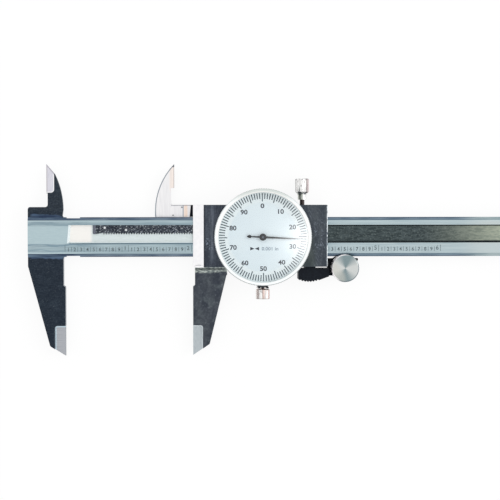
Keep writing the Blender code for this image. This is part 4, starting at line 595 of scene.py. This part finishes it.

# The plate round the dial, with a painted highlight streak beside the strip, and nicks and a broken painted
# highlight along the right edge.
highlight_streak = patch(x, y, (-20.8, -19.6), (-9, 12), 0.5, 2.5) * (upright * 0.5 + 0.1)
nicks = patch(x, y, (20.6, 24.9), (-8.5, 6.5), 0.6, 2.0) * place.specks(1.5, 3, 0.58, 0.66)
chatter = patch(x, y, (-23.2, -19.8), (-5.2, -0.3), 0.5, 0.8) * place.specks(2.0, 3, 0.52, 0.62)
aslant = x.above(15, 3) * place.turned(1.1).noise(0.25, 3.0, 1.0, 3, 0.60, 0.70)
right_edge_highlight = x.above(PLATE_RIGHT, 0.1) * place.noise(0.2, 0.7, 0.3, 3, 0.32, 0.52)
plate = smear.blend(tint(58, 63, 73), tint(82, 88, 99))
plate = x.above(10, 3).blend(plate, smear.blend(tint(66, 72, 80), tint(82, 88, 94)))
plate = (hairs * 0.35).blend(plate, tint(122, 134, 140))
plate = (specks * 0.35).blend(plate, tint(130, 138, 142))
plate = (dents * 0.3).blend(plate, tint(48, 54, 62))
plate = highlight_streak.blend(plate, tint(126, 134, 146))
plate = (nicks * 0.45).blend(plate, tint(140, 150, 164))
plate = (aslant * 0.45).blend(plate, tint(128, 136, 146))
# A greenish painted sheen over the plate's lower right, a painted reflection.
green = smear.blend(tint(62, 70, 68), tint(84, 92, 86))
plate = (patch(x, y, (12, 21), (-13, 1), 2, 3) * 0.6).blend(plate, green)
# The right edge is painted light in broken dashes, a painted highlight.
plate = (right_edge_highlight * 0.8).blend(plate, tint(200, 206, 208))
plate = (chatter * 0.6).blend(plate, tint(142, 154, 170))
plate = (x.below(PLATE_LEFT, 0.12) * 0.6).blend(plate, tint(42, 46, 53))

# The outside jaw below it: dull steel, a light streaked band along the fillet that is a painted reflection, and a
# bright blade.
moving = smear.blend(tint(62, 67, 76), tint(80, 85, 92))
moving = (place.specks(0.22, 3, 0.5, 0.72) * 0.6).blend(moving, tint(104, 112, 116))
moving = (specks * 0.4).blend(moving, tint(128, 136, 142))
moving = (dents * 0.35).blend(moving, tint(46, 52, 60))
fillet_streaks = place.noise(0.8, 1.8, 0.5, 3)
fillet_band_edge = y + (place.noise(0.5, 0.05, 0.05) - 0.5) * 0.7
fillet = fillet_band_edge.within(*FILLET, 0.35) * z.within(*FILLET_RISE, 0.03) * x.below(FILLET_RIGHT, 0.5)
fillet = fillet * upward(place).above(0.12, 0.10)
moving = (fillet * 0.9).blend(moving, fillet_streaks.blend(tint(104, 114, 116), tint(190, 198, 192)))
BLADE_OUT = 3.95
blade = place.noise(1.6, 0.5, 0.5, 3, 0.3, 0.6).blend(tint(174, 182, 187), tint(184, 192, 196))
corner = distance(past(x, MOVING_FACE + BLADE_OUT - CORNER, 1), past(y, BLADE_TOP - CORNER, 1))
blade = corner.above(CORNER - 0.4, 0.1).blend(blade, tint(218, 226, 230))
moving = (corner.below(CORNER) * y.below(BLADES_BELOW)).blend(moving, blade)
front = y.below(PLATE_BOTTOM, 0.05).blend(plate, moving)
# The reading strip is painted near white, a painted reflection on its bevel.
strip = x.below(STRIP_RIGHT, 0.06) * y.above(STRIP_BOTTOM, 0.05) * x.above(MOVING_FACE - 0.02, 0.02)
front = strip.blend(front, place.specks(0.6, 3).blend(tint(247, 246, 248), tint(252, 251, 252)))

# The inside jaw above it, painted bright as the strip as a painted reflection, with a grey outline of painted
# shade, a warm painted reflection of the room and a dark tip.
HORN_BACK, HORN_SWEEP, HORN_BOTTOM, HORN_TIP = 15.35, 27.2, 7.0, 28.3
SLIDER_TOP, FOOT_LEFT, SEAM, ROOM_REFLECTION = 12.95, -36.8, (-32.05, -31.7), (-31.6, -30.1)
HORN_DOTS = ((-32.4, 12.0), (-35.95, 8.75))
horn = upright.blend(tint(241, 240, 241), tint(232, 231, 233))
horn = (x.above(-37.3, 0.5) * y.above(19.0, 1.5) * 0.7).blend(horn, tint(247, 232, 222))
foot = x.above(FOOT_LEFT, 0.1) * y.below(SLIDER_TOP, 0.05)
horn = (foot * x.within(*ROOM_REFLECTION, 0.35)).blend(horn, tint(240, 221, 208))
horn = (foot * x.within(*SEAM)).blend(horn, tint(146, 158, 172))
horn = (foot * y.above(SLIDER_TOP - 0.36) * 0.7).blend(horn, tint(136, 138, 146))
foot_edge = x.above(FOOT_LEFT - 0.06, 0.06) * x.below(FOOT_LEFT + 0.1, 0.06) * y.above(12.0, 0.5)
horn = (foot_edge * 0.3).blend(horn, tint(150, 150, 156))
bow = distance(x - (MOVING_FACE - HORN_BACK + HORN_SWEEP), y - 10.5)
# The outline along the curved edge is painted shade.
outline = bow.above(HORN_SWEEP - 0.42) * x.below(-33, 0.5)
horn = (outline * 0.85).blend(horn, tint(118, 130, 142))
horn = (x.above(-35.75) * y.above(19.7, 0.2) * 0.6).blend(horn, tint(150, 148, 150))
horn = y.above(HORN_TIP, 0.25).blend(horn, tint(92, 98, 106))
for dot_x, dot_y in HORN_DOTS:
    horn = (distance(x - dot_x, y - dot_y).below(0.3, 0.12) * 0.85).blend(horn, tint(50, 52, 58))
# A near-black wedge at the right of the foot is painted shade.
horn = (foot * (x - y * 0.1).above(MOVING_FACE - 2.19, 0.1)).blend(horn, tint(20, 22, 28))
front = (x.below(MOVING_FACE - 0.02, 0.02) * y.above(HORN_BOTTOM, 0.1)).blend(front, horn)
side = upward(place).below(0.45, 0.2) * (1 - fillet)
front = side.blend(front, tint(92, 99, 106))
# The right end is painted light, a painted edge highlight.
front = (side * x.above(PLATE_RIGHT + 0.2, 0.05)).blend(front, tint(206, 208, 206))
link(slider_sockets["Base Color"], front)
roughen(slider_sockets, smear, 0.34, 0.46)
dress("slider_frame", slider_finish, edge=0.10)

# Back cover: a flat ground plate that closes the slider behind the beam, held by four
# countersunk screws, with the gib and its set screws inside the slider's upper side.
cover_steel = steel("cover_ground_steel", (178, 182, 186), (150, 155, 160), (0.15, 2.6, 1.0))
dress("back_cover", cover_steel, edge=0.08)
for number in (1, 2, 3, 4):
    small_screw(f"cover_screw_{number}", "-z", 15 + 40 * number)
for number in (1, 2):
    small_screw(f"gib_screw_{number}", "+y", 50 * number, 0.3, 0.3)


def brass(name, along=(1.0, 1.0, 1.0)):
    """Machined brass, a little uneven in tone."""
    finish, sockets, here = new_finish(name, Metallic=1.0)
    cut = here.noise(*along)
    link(sockets["Base Color"], cut.blend(tint(214, 184, 112), tint(190, 158, 88)))
    roughen(sockets, cut, 0.24, 0.36)
    return finish


turned_brass = brass("turned_brass")
dress("gib", brass("gib_brass", (0.15, 3.0, 3.0)), edge=0.05)
for node in ("lock_pad", "bezel_shoe"):
    dress(node, turned_brass, edge=0.05)

# Depth rod: a flat ground steel rod in the beam's groove, screwed to the slider, which
# comes out past the beam's right end as the jaws open.
ROD_LIGHT, ROD_UPPER_SHADOW = 88, 4.4
rod_finish, rod_sockets, place = new_finish("rod_ground_steel", Metallic=1.0)
x, y = place.axes()[:2]
rod_grain = place.noise(0.5, 1.6, 1.0, 4)
# The rod is painted dark, a painted dark reflection, and lighter past 88 mm; a black painted shadow runs along
# its upper edge.
rod = rod_grain.blend(tint(54, 63, 65), tint(76, 86, 88))
rod = (place.specks(1.5, 3, 0.52, 0.66) * 0.5).blend(rod, tint(110, 120, 118))
rod = x.above(ROD_LIGHT, 26).blend(rod, rod_grain.blend(tint(154, 164, 150), tint(180, 187, 168)))
rod = y.above(ROD_UPPER_SHADOW).blend(rod, tint(16, 20, 24))
link(rod_sockets["Base Color"], rod)
roughen(rod_sockets, rod_grain, 0.34, 0.48)
dress("depth_rod", rod_finish, edge=0.05)
for number in (1, 2):
    small_screw(f"rod_screw_{number}", "+z")

# Gear train: a steel pinion that rolls on the rack, two thin brass gears sprung apart on
# its arbor to take up play, and the needle's pinion, all in brass bushes.
pinion_steel = steel("pinion_steel", (196, 196, 194), (160, 160, 160), (1.5, 1.5, 0.4))
dress("rack_pinion", pinion_steel, edge=0)
dress("centre_pinion", steel("blued_steel", (112, 120, 130), (84, 92, 102), (1.5, 1.5, 0.4)), edge=0)
for node in ("drive_gear", "takeup_gear"):
    dress(node, turned_brass, edge=0)
dress("takeup_spring", steel("spring_steel", (120, 128, 140), (90, 98, 112)), edge=0)
for node in ("gear_bush_lower", "gear_bush_upper", "centre_bush_lower", "centre_bush_upper"):
    dress(node, turned_brass, edge=0.03)

# Bridge: a stamped steel plate on three turned posts, held by three screws, that carries
# the upper ends of both arbors.
bridge_steel = steel("bridge_steel", (188, 190, 190), (158, 161, 163), (2.0, 0.3, 1.0))
dress("bridge_plate", bridge_steel, edge=0.05)
for number in (1, 2, 3):
    dress(f"bridge_post_{number}", pinion_steel, edge=0.05)
    small_screw(f"bridge_screw_{number}", "+z", 60 * number, 0.35, 0.25, 0.03)

# Dial case: a turned and blackened ring case on the slider's front, with a lug for the
# bezel's lock screw and a wire ring on which the bezel drags, held by four screws.
LUG_END, LUG_LEFT, LUG_RIGHT, LUG_GLINTS = -20.1, -2.0, 2.3, ((-1.05, -0.75), (0.45, 1.25))
case_finish, sockets, place = new_finish("case_blackened_steel", Metallic=1.0)
x, y = place.axes()[:2]
case_grain = place.specks(0.8, 3)
black = case_grain.blend(tint(40, 42, 46), tint(58, 60, 64))
# At the lug's end its corners are painted light as bare steel, and the two glints between them are painted
# highlights.
bare_and_glints = x.below(LUG_LEFT, 0.1) + x.above(LUG_RIGHT, 0.1)
for glint in LUG_GLINTS:
    bare_and_glints = bare_and_glints + x.within(*glint, 0.1)
link(sockets["Base Color"], (bare_and_glints * y.below(LUG_END, 0.1)).blend(black, tint(232, 226, 222)))
roughen(sockets, case_grain, 0.30, 0.45)
dress("dial_case", case_finish, edge=0.06)
dress("bezel_spring", steel("wire_steel", (170, 172, 176), (140, 143, 148)), edge=0)
for number in (1, 2, 3, 4):
    small_screw(f"case_screw_{number}", "+z", 45 * number, 0.35, 0.25, 0.03)

# Bezel: a glossy moulded ring in off-white plastic, finely milled round its side, that
# holds the crystal and turns with the dial. A white card at its left lights it.
BEZEL_OUT, BEZEL_LIP, BEZEL_RIM, BEZEL_UPPER = 19.35, 18.25, 19.1, 15.5
MILLING, MILLING_LOW, MILLING_HIGH, MILLING_RISE = 180, 13.5, 14.9, 0.14
bezel_finish, bezel_sockets, place = new_finish("bezel_gloss_plastic", Roughness=0.22, Coat_Weight=0.3)
x, y = place.axes()[:2]
reach = distance(x, y)
# The ring is painted darker across its top arc and in grey lines round its inner lip and outer edge, as painted
# shade that is greyest at the bottom.
lip = y.below(-4, 10).blend(tint(246, 242, 238), tint(204, 213, 214))
rim = place.specks(0.3).blend(tint(244, 249, 250), tint(250, 253, 253))
rim = (y.above(BEZEL_UPPER, 2.5) * 0.85).blend(rim, tint(202, 209, 205))
rim = (reach.below(BEZEL_LIP, 0.1) * 0.7).blend(rim, lip)
rim = (reach.above(BEZEL_RIM, 0.1) * (y.below(-2, 14) * 0.6 + 0.35)).blend(rim, tint(158, 162, 162))
link(bezel_sockets["Base Color"], rim)
bezel = dress("bezel", bezel_finish, edge=0.10, steps=3)
RIDGE_SHARE, RIDGE_TAPER, RIDGE_SUNK = 0.62, 0.55, 0.02


def milled(name, count, radius, low, high, rise, centre, finish, body):
    """Fine upright ridges round the side of a turned piece, each moulded or cut alike."""
    ridge = stroke(2 * pi * radius / count * RIDGE_SHARE, high - low, finish, rise, RIDGE_TAPER)
    stand_up = Matrix.Translation((0, -(radius - RIDGE_SUNK) * MM, low * MM))
    ridge.data.transform(stand_up @ Matrix.Rotation(pi / 2, 4, "X"))
    middle = Matrix.Translation((centre[0] * MM, centre[1] * MM, 0))
    turns = [step * 2 * pi / count for step in range(count)]
    ridges = [copy_to(ridge, middle @ Matrix.Rotation(turn, 4, "Z")) for turn in turns]
    bpy.data.objects.remove(ridge)
    return gather(ridges, name, body)


milling = milled(
    "bezel_milling", MILLING, BEZEL_OUT, MILLING_LOW, MILLING_HIGH, MILLING_RISE, (0, 0),
    bezel_finish, "bezel",
)


def only_for(light, name, pieces, state="INCLUDE"):
    """Keeps a lamp's light to some pieces, or keeps it off them with EXCLUDE."""
    lit = bpy.data.collections.new(name)
    for piece in pieces:
        lit.objects.link(piece)
    for entry in lit.collection_objects:
        entry.light_linking.link_state = state
    light.light_linking.receiver_collection = lit


card = lamp("white_card", place=(-1.2, -0.1, 0.9), aim=(0, 0, 0.012), side=1.0, power=7)
only_for(card, "plastic_only", [bezel, milling])

# Crystal: a clear moulded window, slightly domed, pressed into the bezel. A window of
# the room is mirrored softly on its right half.
crystal_finish = bpy.data.materials.new("crystal_clear")
crystal_finish.use_nodes = True
crystal_finish.node_tree.nodes.clear()
clear = Wire(crystal_finish.node_tree).node("ShaderNodeBsdfTransparent", {}, {"Color": WHITE})
gloss = clear.node("ShaderNodeBsdfGlossy", {}, {"Roughness": 0.14})
inner = clear.node("ShaderNodeNewGeometry", {}, {}, "Backfacing")
mirror = clear.node("ShaderNodeFresnel", {}, {"IOR": 1.49}) * (1 - inner)
glass = mirror.node("ShaderNodeMixShader", {}, {0: mirror, 1: clear, 2: gloss})
glass.node("ShaderNodeOutputMaterial", {}, {"Surface": glass})
crystal = dress("crystal", crystal_finish, edge=0.05, smooth=60)
window = lamp("window", place=(0.098, -0.018, 0.72), aim=(0.010, -0.001, 0.014), side=0.02, power=0.20)
only_for(window, "glass_only", [crystal])
only_for(soft_lamp, "all_but_glass", [crystal], "EXCLUDE")

# Dial: a thin aluminium disc in matt pale blue-white paint, printed in black with a
# hundred divisions, a figure at each ten, and the value of a division.
FACE_TOP = 12.65
DIVISION_OUT, DIVISION_RING = 17.6, 13.8
DIAL_TURN = radians(0.9)
face_finish, face_sockets, place = new_finish("dial_matt_paint", Roughness=0.55, Specular_IOR_Level=0.2)
x, y = place.axes()[:2]
face = place.specks(0.05).blend(tint(230, 244, 250), tint(234, 247, 252))
face = (place.specks(2.5, 2, 0.5, 0.7) * 0.2).blend(face, tint(222, 238, 246))
face = distance(x, y).above(DIVISION_RING, 0.6).blend(face, tint(240, 251, 254))
link(face_sockets["Base Color"], face)
dress("dial_face", face_finish, edge=0.03)


def print_ink(name, darker, lighter):
    """Printing ink of a slightly uneven density."""
    finish, sockets, here = new_finish(name, Roughness=0.5, Specular_IOR_Level=0.2)
    link(sockets["Base Color"], here.specks(2.0).blend(tint(*darker), tint(*lighter)))
    return finish


line_ink = print_ink("dial_line_ink", (22, 50, 64), (46, 72, 84))
ink = print_ink("dial_figure_ink", (26, 34, 50), (42, 50, 64))
pale_ink = print_ink("dial_pale_ink", (118, 138, 154), (138, 156, 170))
DIVISIONS, DIVISION_WIDTH, TENS_LINE, SHORT_LINE = 100, 0.38, 3.3, 2.35
divisions = []
lines_by_length = {length: stroke(DIVISION_WIDTH, length, line_ink) for length in (SHORT_LINE, TENS_LINE)}
for step in range(DIVISIONS):
    length = SHORT_LINE if step % 5 else TENS_LINE
    move = (
        Matrix.Rotation(DIAL_TURN - step * 2 * pi / DIVISIONS, 4, "Z")
        @ Matrix.Translation((0, (DIVISION_OUT - length) * MM, FACE_TOP * MM))
    )
    divisions.append(copy_to(lines_by_length[length], move))
for spare in lines_by_length.values():
    bpy.data.objects.remove(spare)
gather(divisions, "dial_divisions", "bezel")
NUMERAL_RING, NUMERAL_HEIGHT, NUMERAL_WIDER, ZERO_WIDER = 12.55, 1.85, 1.10, 1.2
numerals = []
for ten in range(10):
    angle = pi / 2 - ten * pi / 5
    spot = (NUMERAL_RING * cos(angle), NUMERAL_RING * sin(angle))
    wider = NUMERAL_WIDER if ten else ZERO_WIDER
    numerals.append(printed(str(ten * 10), NUMERAL_HEIGHT, spot, FACE_TOP, ink, 0.07, wider))
gather(numerals, "dial_numerals", "bezel").data.transform(Matrix.Rotation(DIAL_TURN, 4, "Z"))
MARK_LINE, MARK_MIDDLE, MARK_HALF, ARROW_RADIUS, ARROW_SQUEEZE = -4.6, -3.3, 1.2, 1.15, 0.72
VALUE_HEIGHT, VALUE_X = 1.4, 2.85
arrows = []
for side in (-1, 1):
    alone()
    bpy.ops.mesh.primitive_circle_add(vertices=3, radius=ARROW_RADIUS * MM, fill_type="NGON")
    arrow = bpy.context.object
    bpy.ops.object.mode_set(mode="EDIT")
    bpy.ops.mesh.select_all(action="SELECT")
    bpy.ops.mesh.extrude_region_move(TRANSFORM_OT_translate={"value": (0, 0, CUT_RISE / 2 * MM)})
    close_outwards()
    arrow.data.transform(
        Matrix.Translation(((MARK_MIDDLE + side * MARK_HALF) * MM, MARK_LINE * MM, FACE_TOP * MM))
        @ Matrix.Rotation(side * pi / 2, 4, "Z")
        @ Matrix.Diagonal((ARROW_SQUEEZE, 1, 1, 1))
    )
    arrow.data.materials.append(ink)
    arrows.append(arrow)
gather(arrows, "dial_value_arrows", "bezel")
value = printed("0.001 in", VALUE_HEIGHT, (VALUE_X, MARK_LINE), FACE_TOP, pale_ink, 0.03, 1.08)
gather([value], "dial_value", "bezel")

# Needle: a blackened steel pointer with a pear-shaped counterweight, pressed on the end
# of its arbor by a turned hub.
black_finish, black_sockets, place = new_finish("needle_black", Roughness=0.4, Specular_IOR_Level=0.2)
link(black_sockets["Base Color"], place.specks(1.5).blend(tint(4, 8, 16), tint(14, 20, 30)))
dress("needle", black_finish, edge=0.04)

# Lock screws: turned and nickel-plated thumb screws with straight-knurled heads, one on
# top of the slider for the slide and one under the dial for the bezel.
SLIDE_SCREW_X, SLIDE_STEM, SLIDE_COLLAR, SLIDE_NECK, SLIDE_HEAD_TOP = 16.5, 15.05, 17.7, (17.75, 18.1), 22.9
BEZEL_SCREW_NECK, BEZEL_SCREW_END = -20.95, -24.4
PINK_SHADE_FROM = 2.0


def nickel_plate(name, middle, dark_reflection_lines):
    """Bright nickel with painted dark reflections as streaks and lines along the screw, so many millimetres from
    its middle, and a pinkish painted shade on its right side.
    """
    finish, sockets, here = new_finish(name, Metallic=1.0)
    across = here.axes()[0] - middle
    streaks = here.noise(1.3, 0.10, 1.3, 3, 0.40, 0.60)
    colour = streaks.blend(tint(222, 221, 220), tint(250, 250, 249))
    colour = (here.noise(1.0, 0.8, 1.0, 3, 0.54, 0.66) * 0.5).blend(colour, tint(128, 122, 122))
    for at, half, strength in dark_reflection_lines:
        colour = (across.within(at - half, at + half, 0.15) * strength).blend(colour, tint(70, 58, 58))
    colour = (across.above(PINK_SHADE_FROM, 0.15) * 0.8).blend(colour, tint(216, 196, 198))
    roughen(sockets, streaks, 0.20, 0.30)
    return finish, sockets, here, colour


slide_reflection_lines = ((1.75, 0.28, 0.9), (-2.7, 0.12, 0.5))
nickel, sockets, place, colour = nickel_plate("nickel_slide_lock", SLIDE_SCREW_X, slide_reflection_lines)
x, y = place.axes()[:2]
worn_top = y.above(SLIDE_HEAD_TOP, 0.1) * place.noise(0.9, 0.1, 0.9, 2, 0.5, 0.6)
colour = (worn_top * 0.7).blend(colour, tint(110, 108, 112))
# The neck under the head is painted dark as shade, and the collar is painted light on its right and darker on its
# left, as painted light and shade.
colour = (y.within(*SLIDE_NECK, 0.1) * 0.6).blend(colour, tint(66, 70, 66))
collar = x.above(SLIDE_SCREW_X + 0.1).blend(tint(184, 188, 180), tint(244, 244, 242))
colour = y.below(SLIDE_COLLAR, 0.06).blend(colour, collar)
colour = y.below(SLIDE_STEM, 0.06).blend(colour, tint(58, 52, 52))
link(sockets["Base Color"], colour)
dress("slide_lock_screw", nickel, edge=0.05)
bezel_reflection_lines = ((-1.9, 0.2, 0.6), (0.0, 0.3, 0.85), (1.8, 0.2, 0.7))
nickel, sockets, place, colour = nickel_plate("nickel_bezel_lock", 0.0, bezel_reflection_lines)
y = place.axes()[1]
colour = (place.noise(0.9, 0.05, 0.9, 2, 0.4, 0.6) * 0.6).blend(colour, tint(232, 206, 196))
colour = y.above(BEZEL_SCREW_NECK).blend(colour, tint(150, 120, 104))
colour = (y.below(BEZEL_SCREW_END, 0.1) * 0.5).blend(colour, tint(150, 146, 144))
link(sockets["Base Color"], colour)
dress("bezel_lock_screw", nickel, edge=0.05)

# Thumb grip: a black moulded handle under the slider, ridged where the thumb sits, whose
# arm runs on behind the wheel. Two screws hold it from below.
grip_finish, grip_sockets, place = new_finish("grip_black_plastic", Roughness=0.5, Specular_IOR_Level=0.15)
link(grip_sockets["Base Color"], place.specks(1.0, 3).blend(tint(12, 18, 28), tint(20, 27, 36)))
dress("thumb_grip", grip_finish, edge=0.05)
for number in (1, 2):
    small_screw(f"grip_screw_{number}", "-y", 40 * number, 0.35, 0.3)

# Thumb roller: a black knurled wheel that runs on the beam's lower edge, under a turned
# steel knob, both on one axle in the grip's arm.
KNOB, KNOB_RADIUS, KNOB_RIM = (33.6, -12.7), 5.6, 5.2
KNURLS, KNURL_LOW, KNURL_HIGH, KNURL_RISE = 72, 5.8, 8.7, 0.08
knob_finish, knob_sockets, place = new_finish("knob_turned_steel", Metallic=1.0)
x, y = place.axes()[:2]
across, up = x - KNOB[0], y - KNOB[1]
radius = distance(across, up)
# The face is painted with light and shade: a bow-tie painted highlight, a painted highlight at the lower left,
# and on the rim a painted highlight at the left and painted shade at the lower right. The fine rings are its
# turning.
bow = (up.maths("ARCTAN2", across) * 2.0 + 0.25).maths("COSINE")
rings = (radius * 22.0).maths("SINE")
on_rim = radius.above(KNOB_RIM)
face = (bow * 0.62 + 0.52).blend(tint(132, 150, 154), tint(214, 217, 215))
face = ((across + up * 0.9).below(-2.2, 1.6) * across.below(0, 1.5) * 0.5).blend(face, tint(214, 212, 202))
face = (rings * 0.10 + 0.10).blend(face, tint(120, 128, 130))
face = (on_rim * (across - up * 0.3).below(-1, 2)).blend(face, tint(248, 244, 246))
face = (on_rim * (across - up * 1.2).above(3.4, 1.4) * 0.8).blend(face, tint(96, 110, 118))
link(knob_sockets["Base Color"], face)
roughen(knob_sockets, rings, 0.26, 0.34)
dress("roller_knob", knob_finish, edge=0.10, steps=3)
milled(
    "knob_milling", KNURLS, KNOB_RADIUS, KNURL_LOW, KNURL_HIGH, KNURL_RISE, KNOB, knob_finish, "roller"
)
dress("roller_wheel", grip_finish, edge=0.05)
small_screw("roller_axle", "-z", width=0.5, depth=0.2)
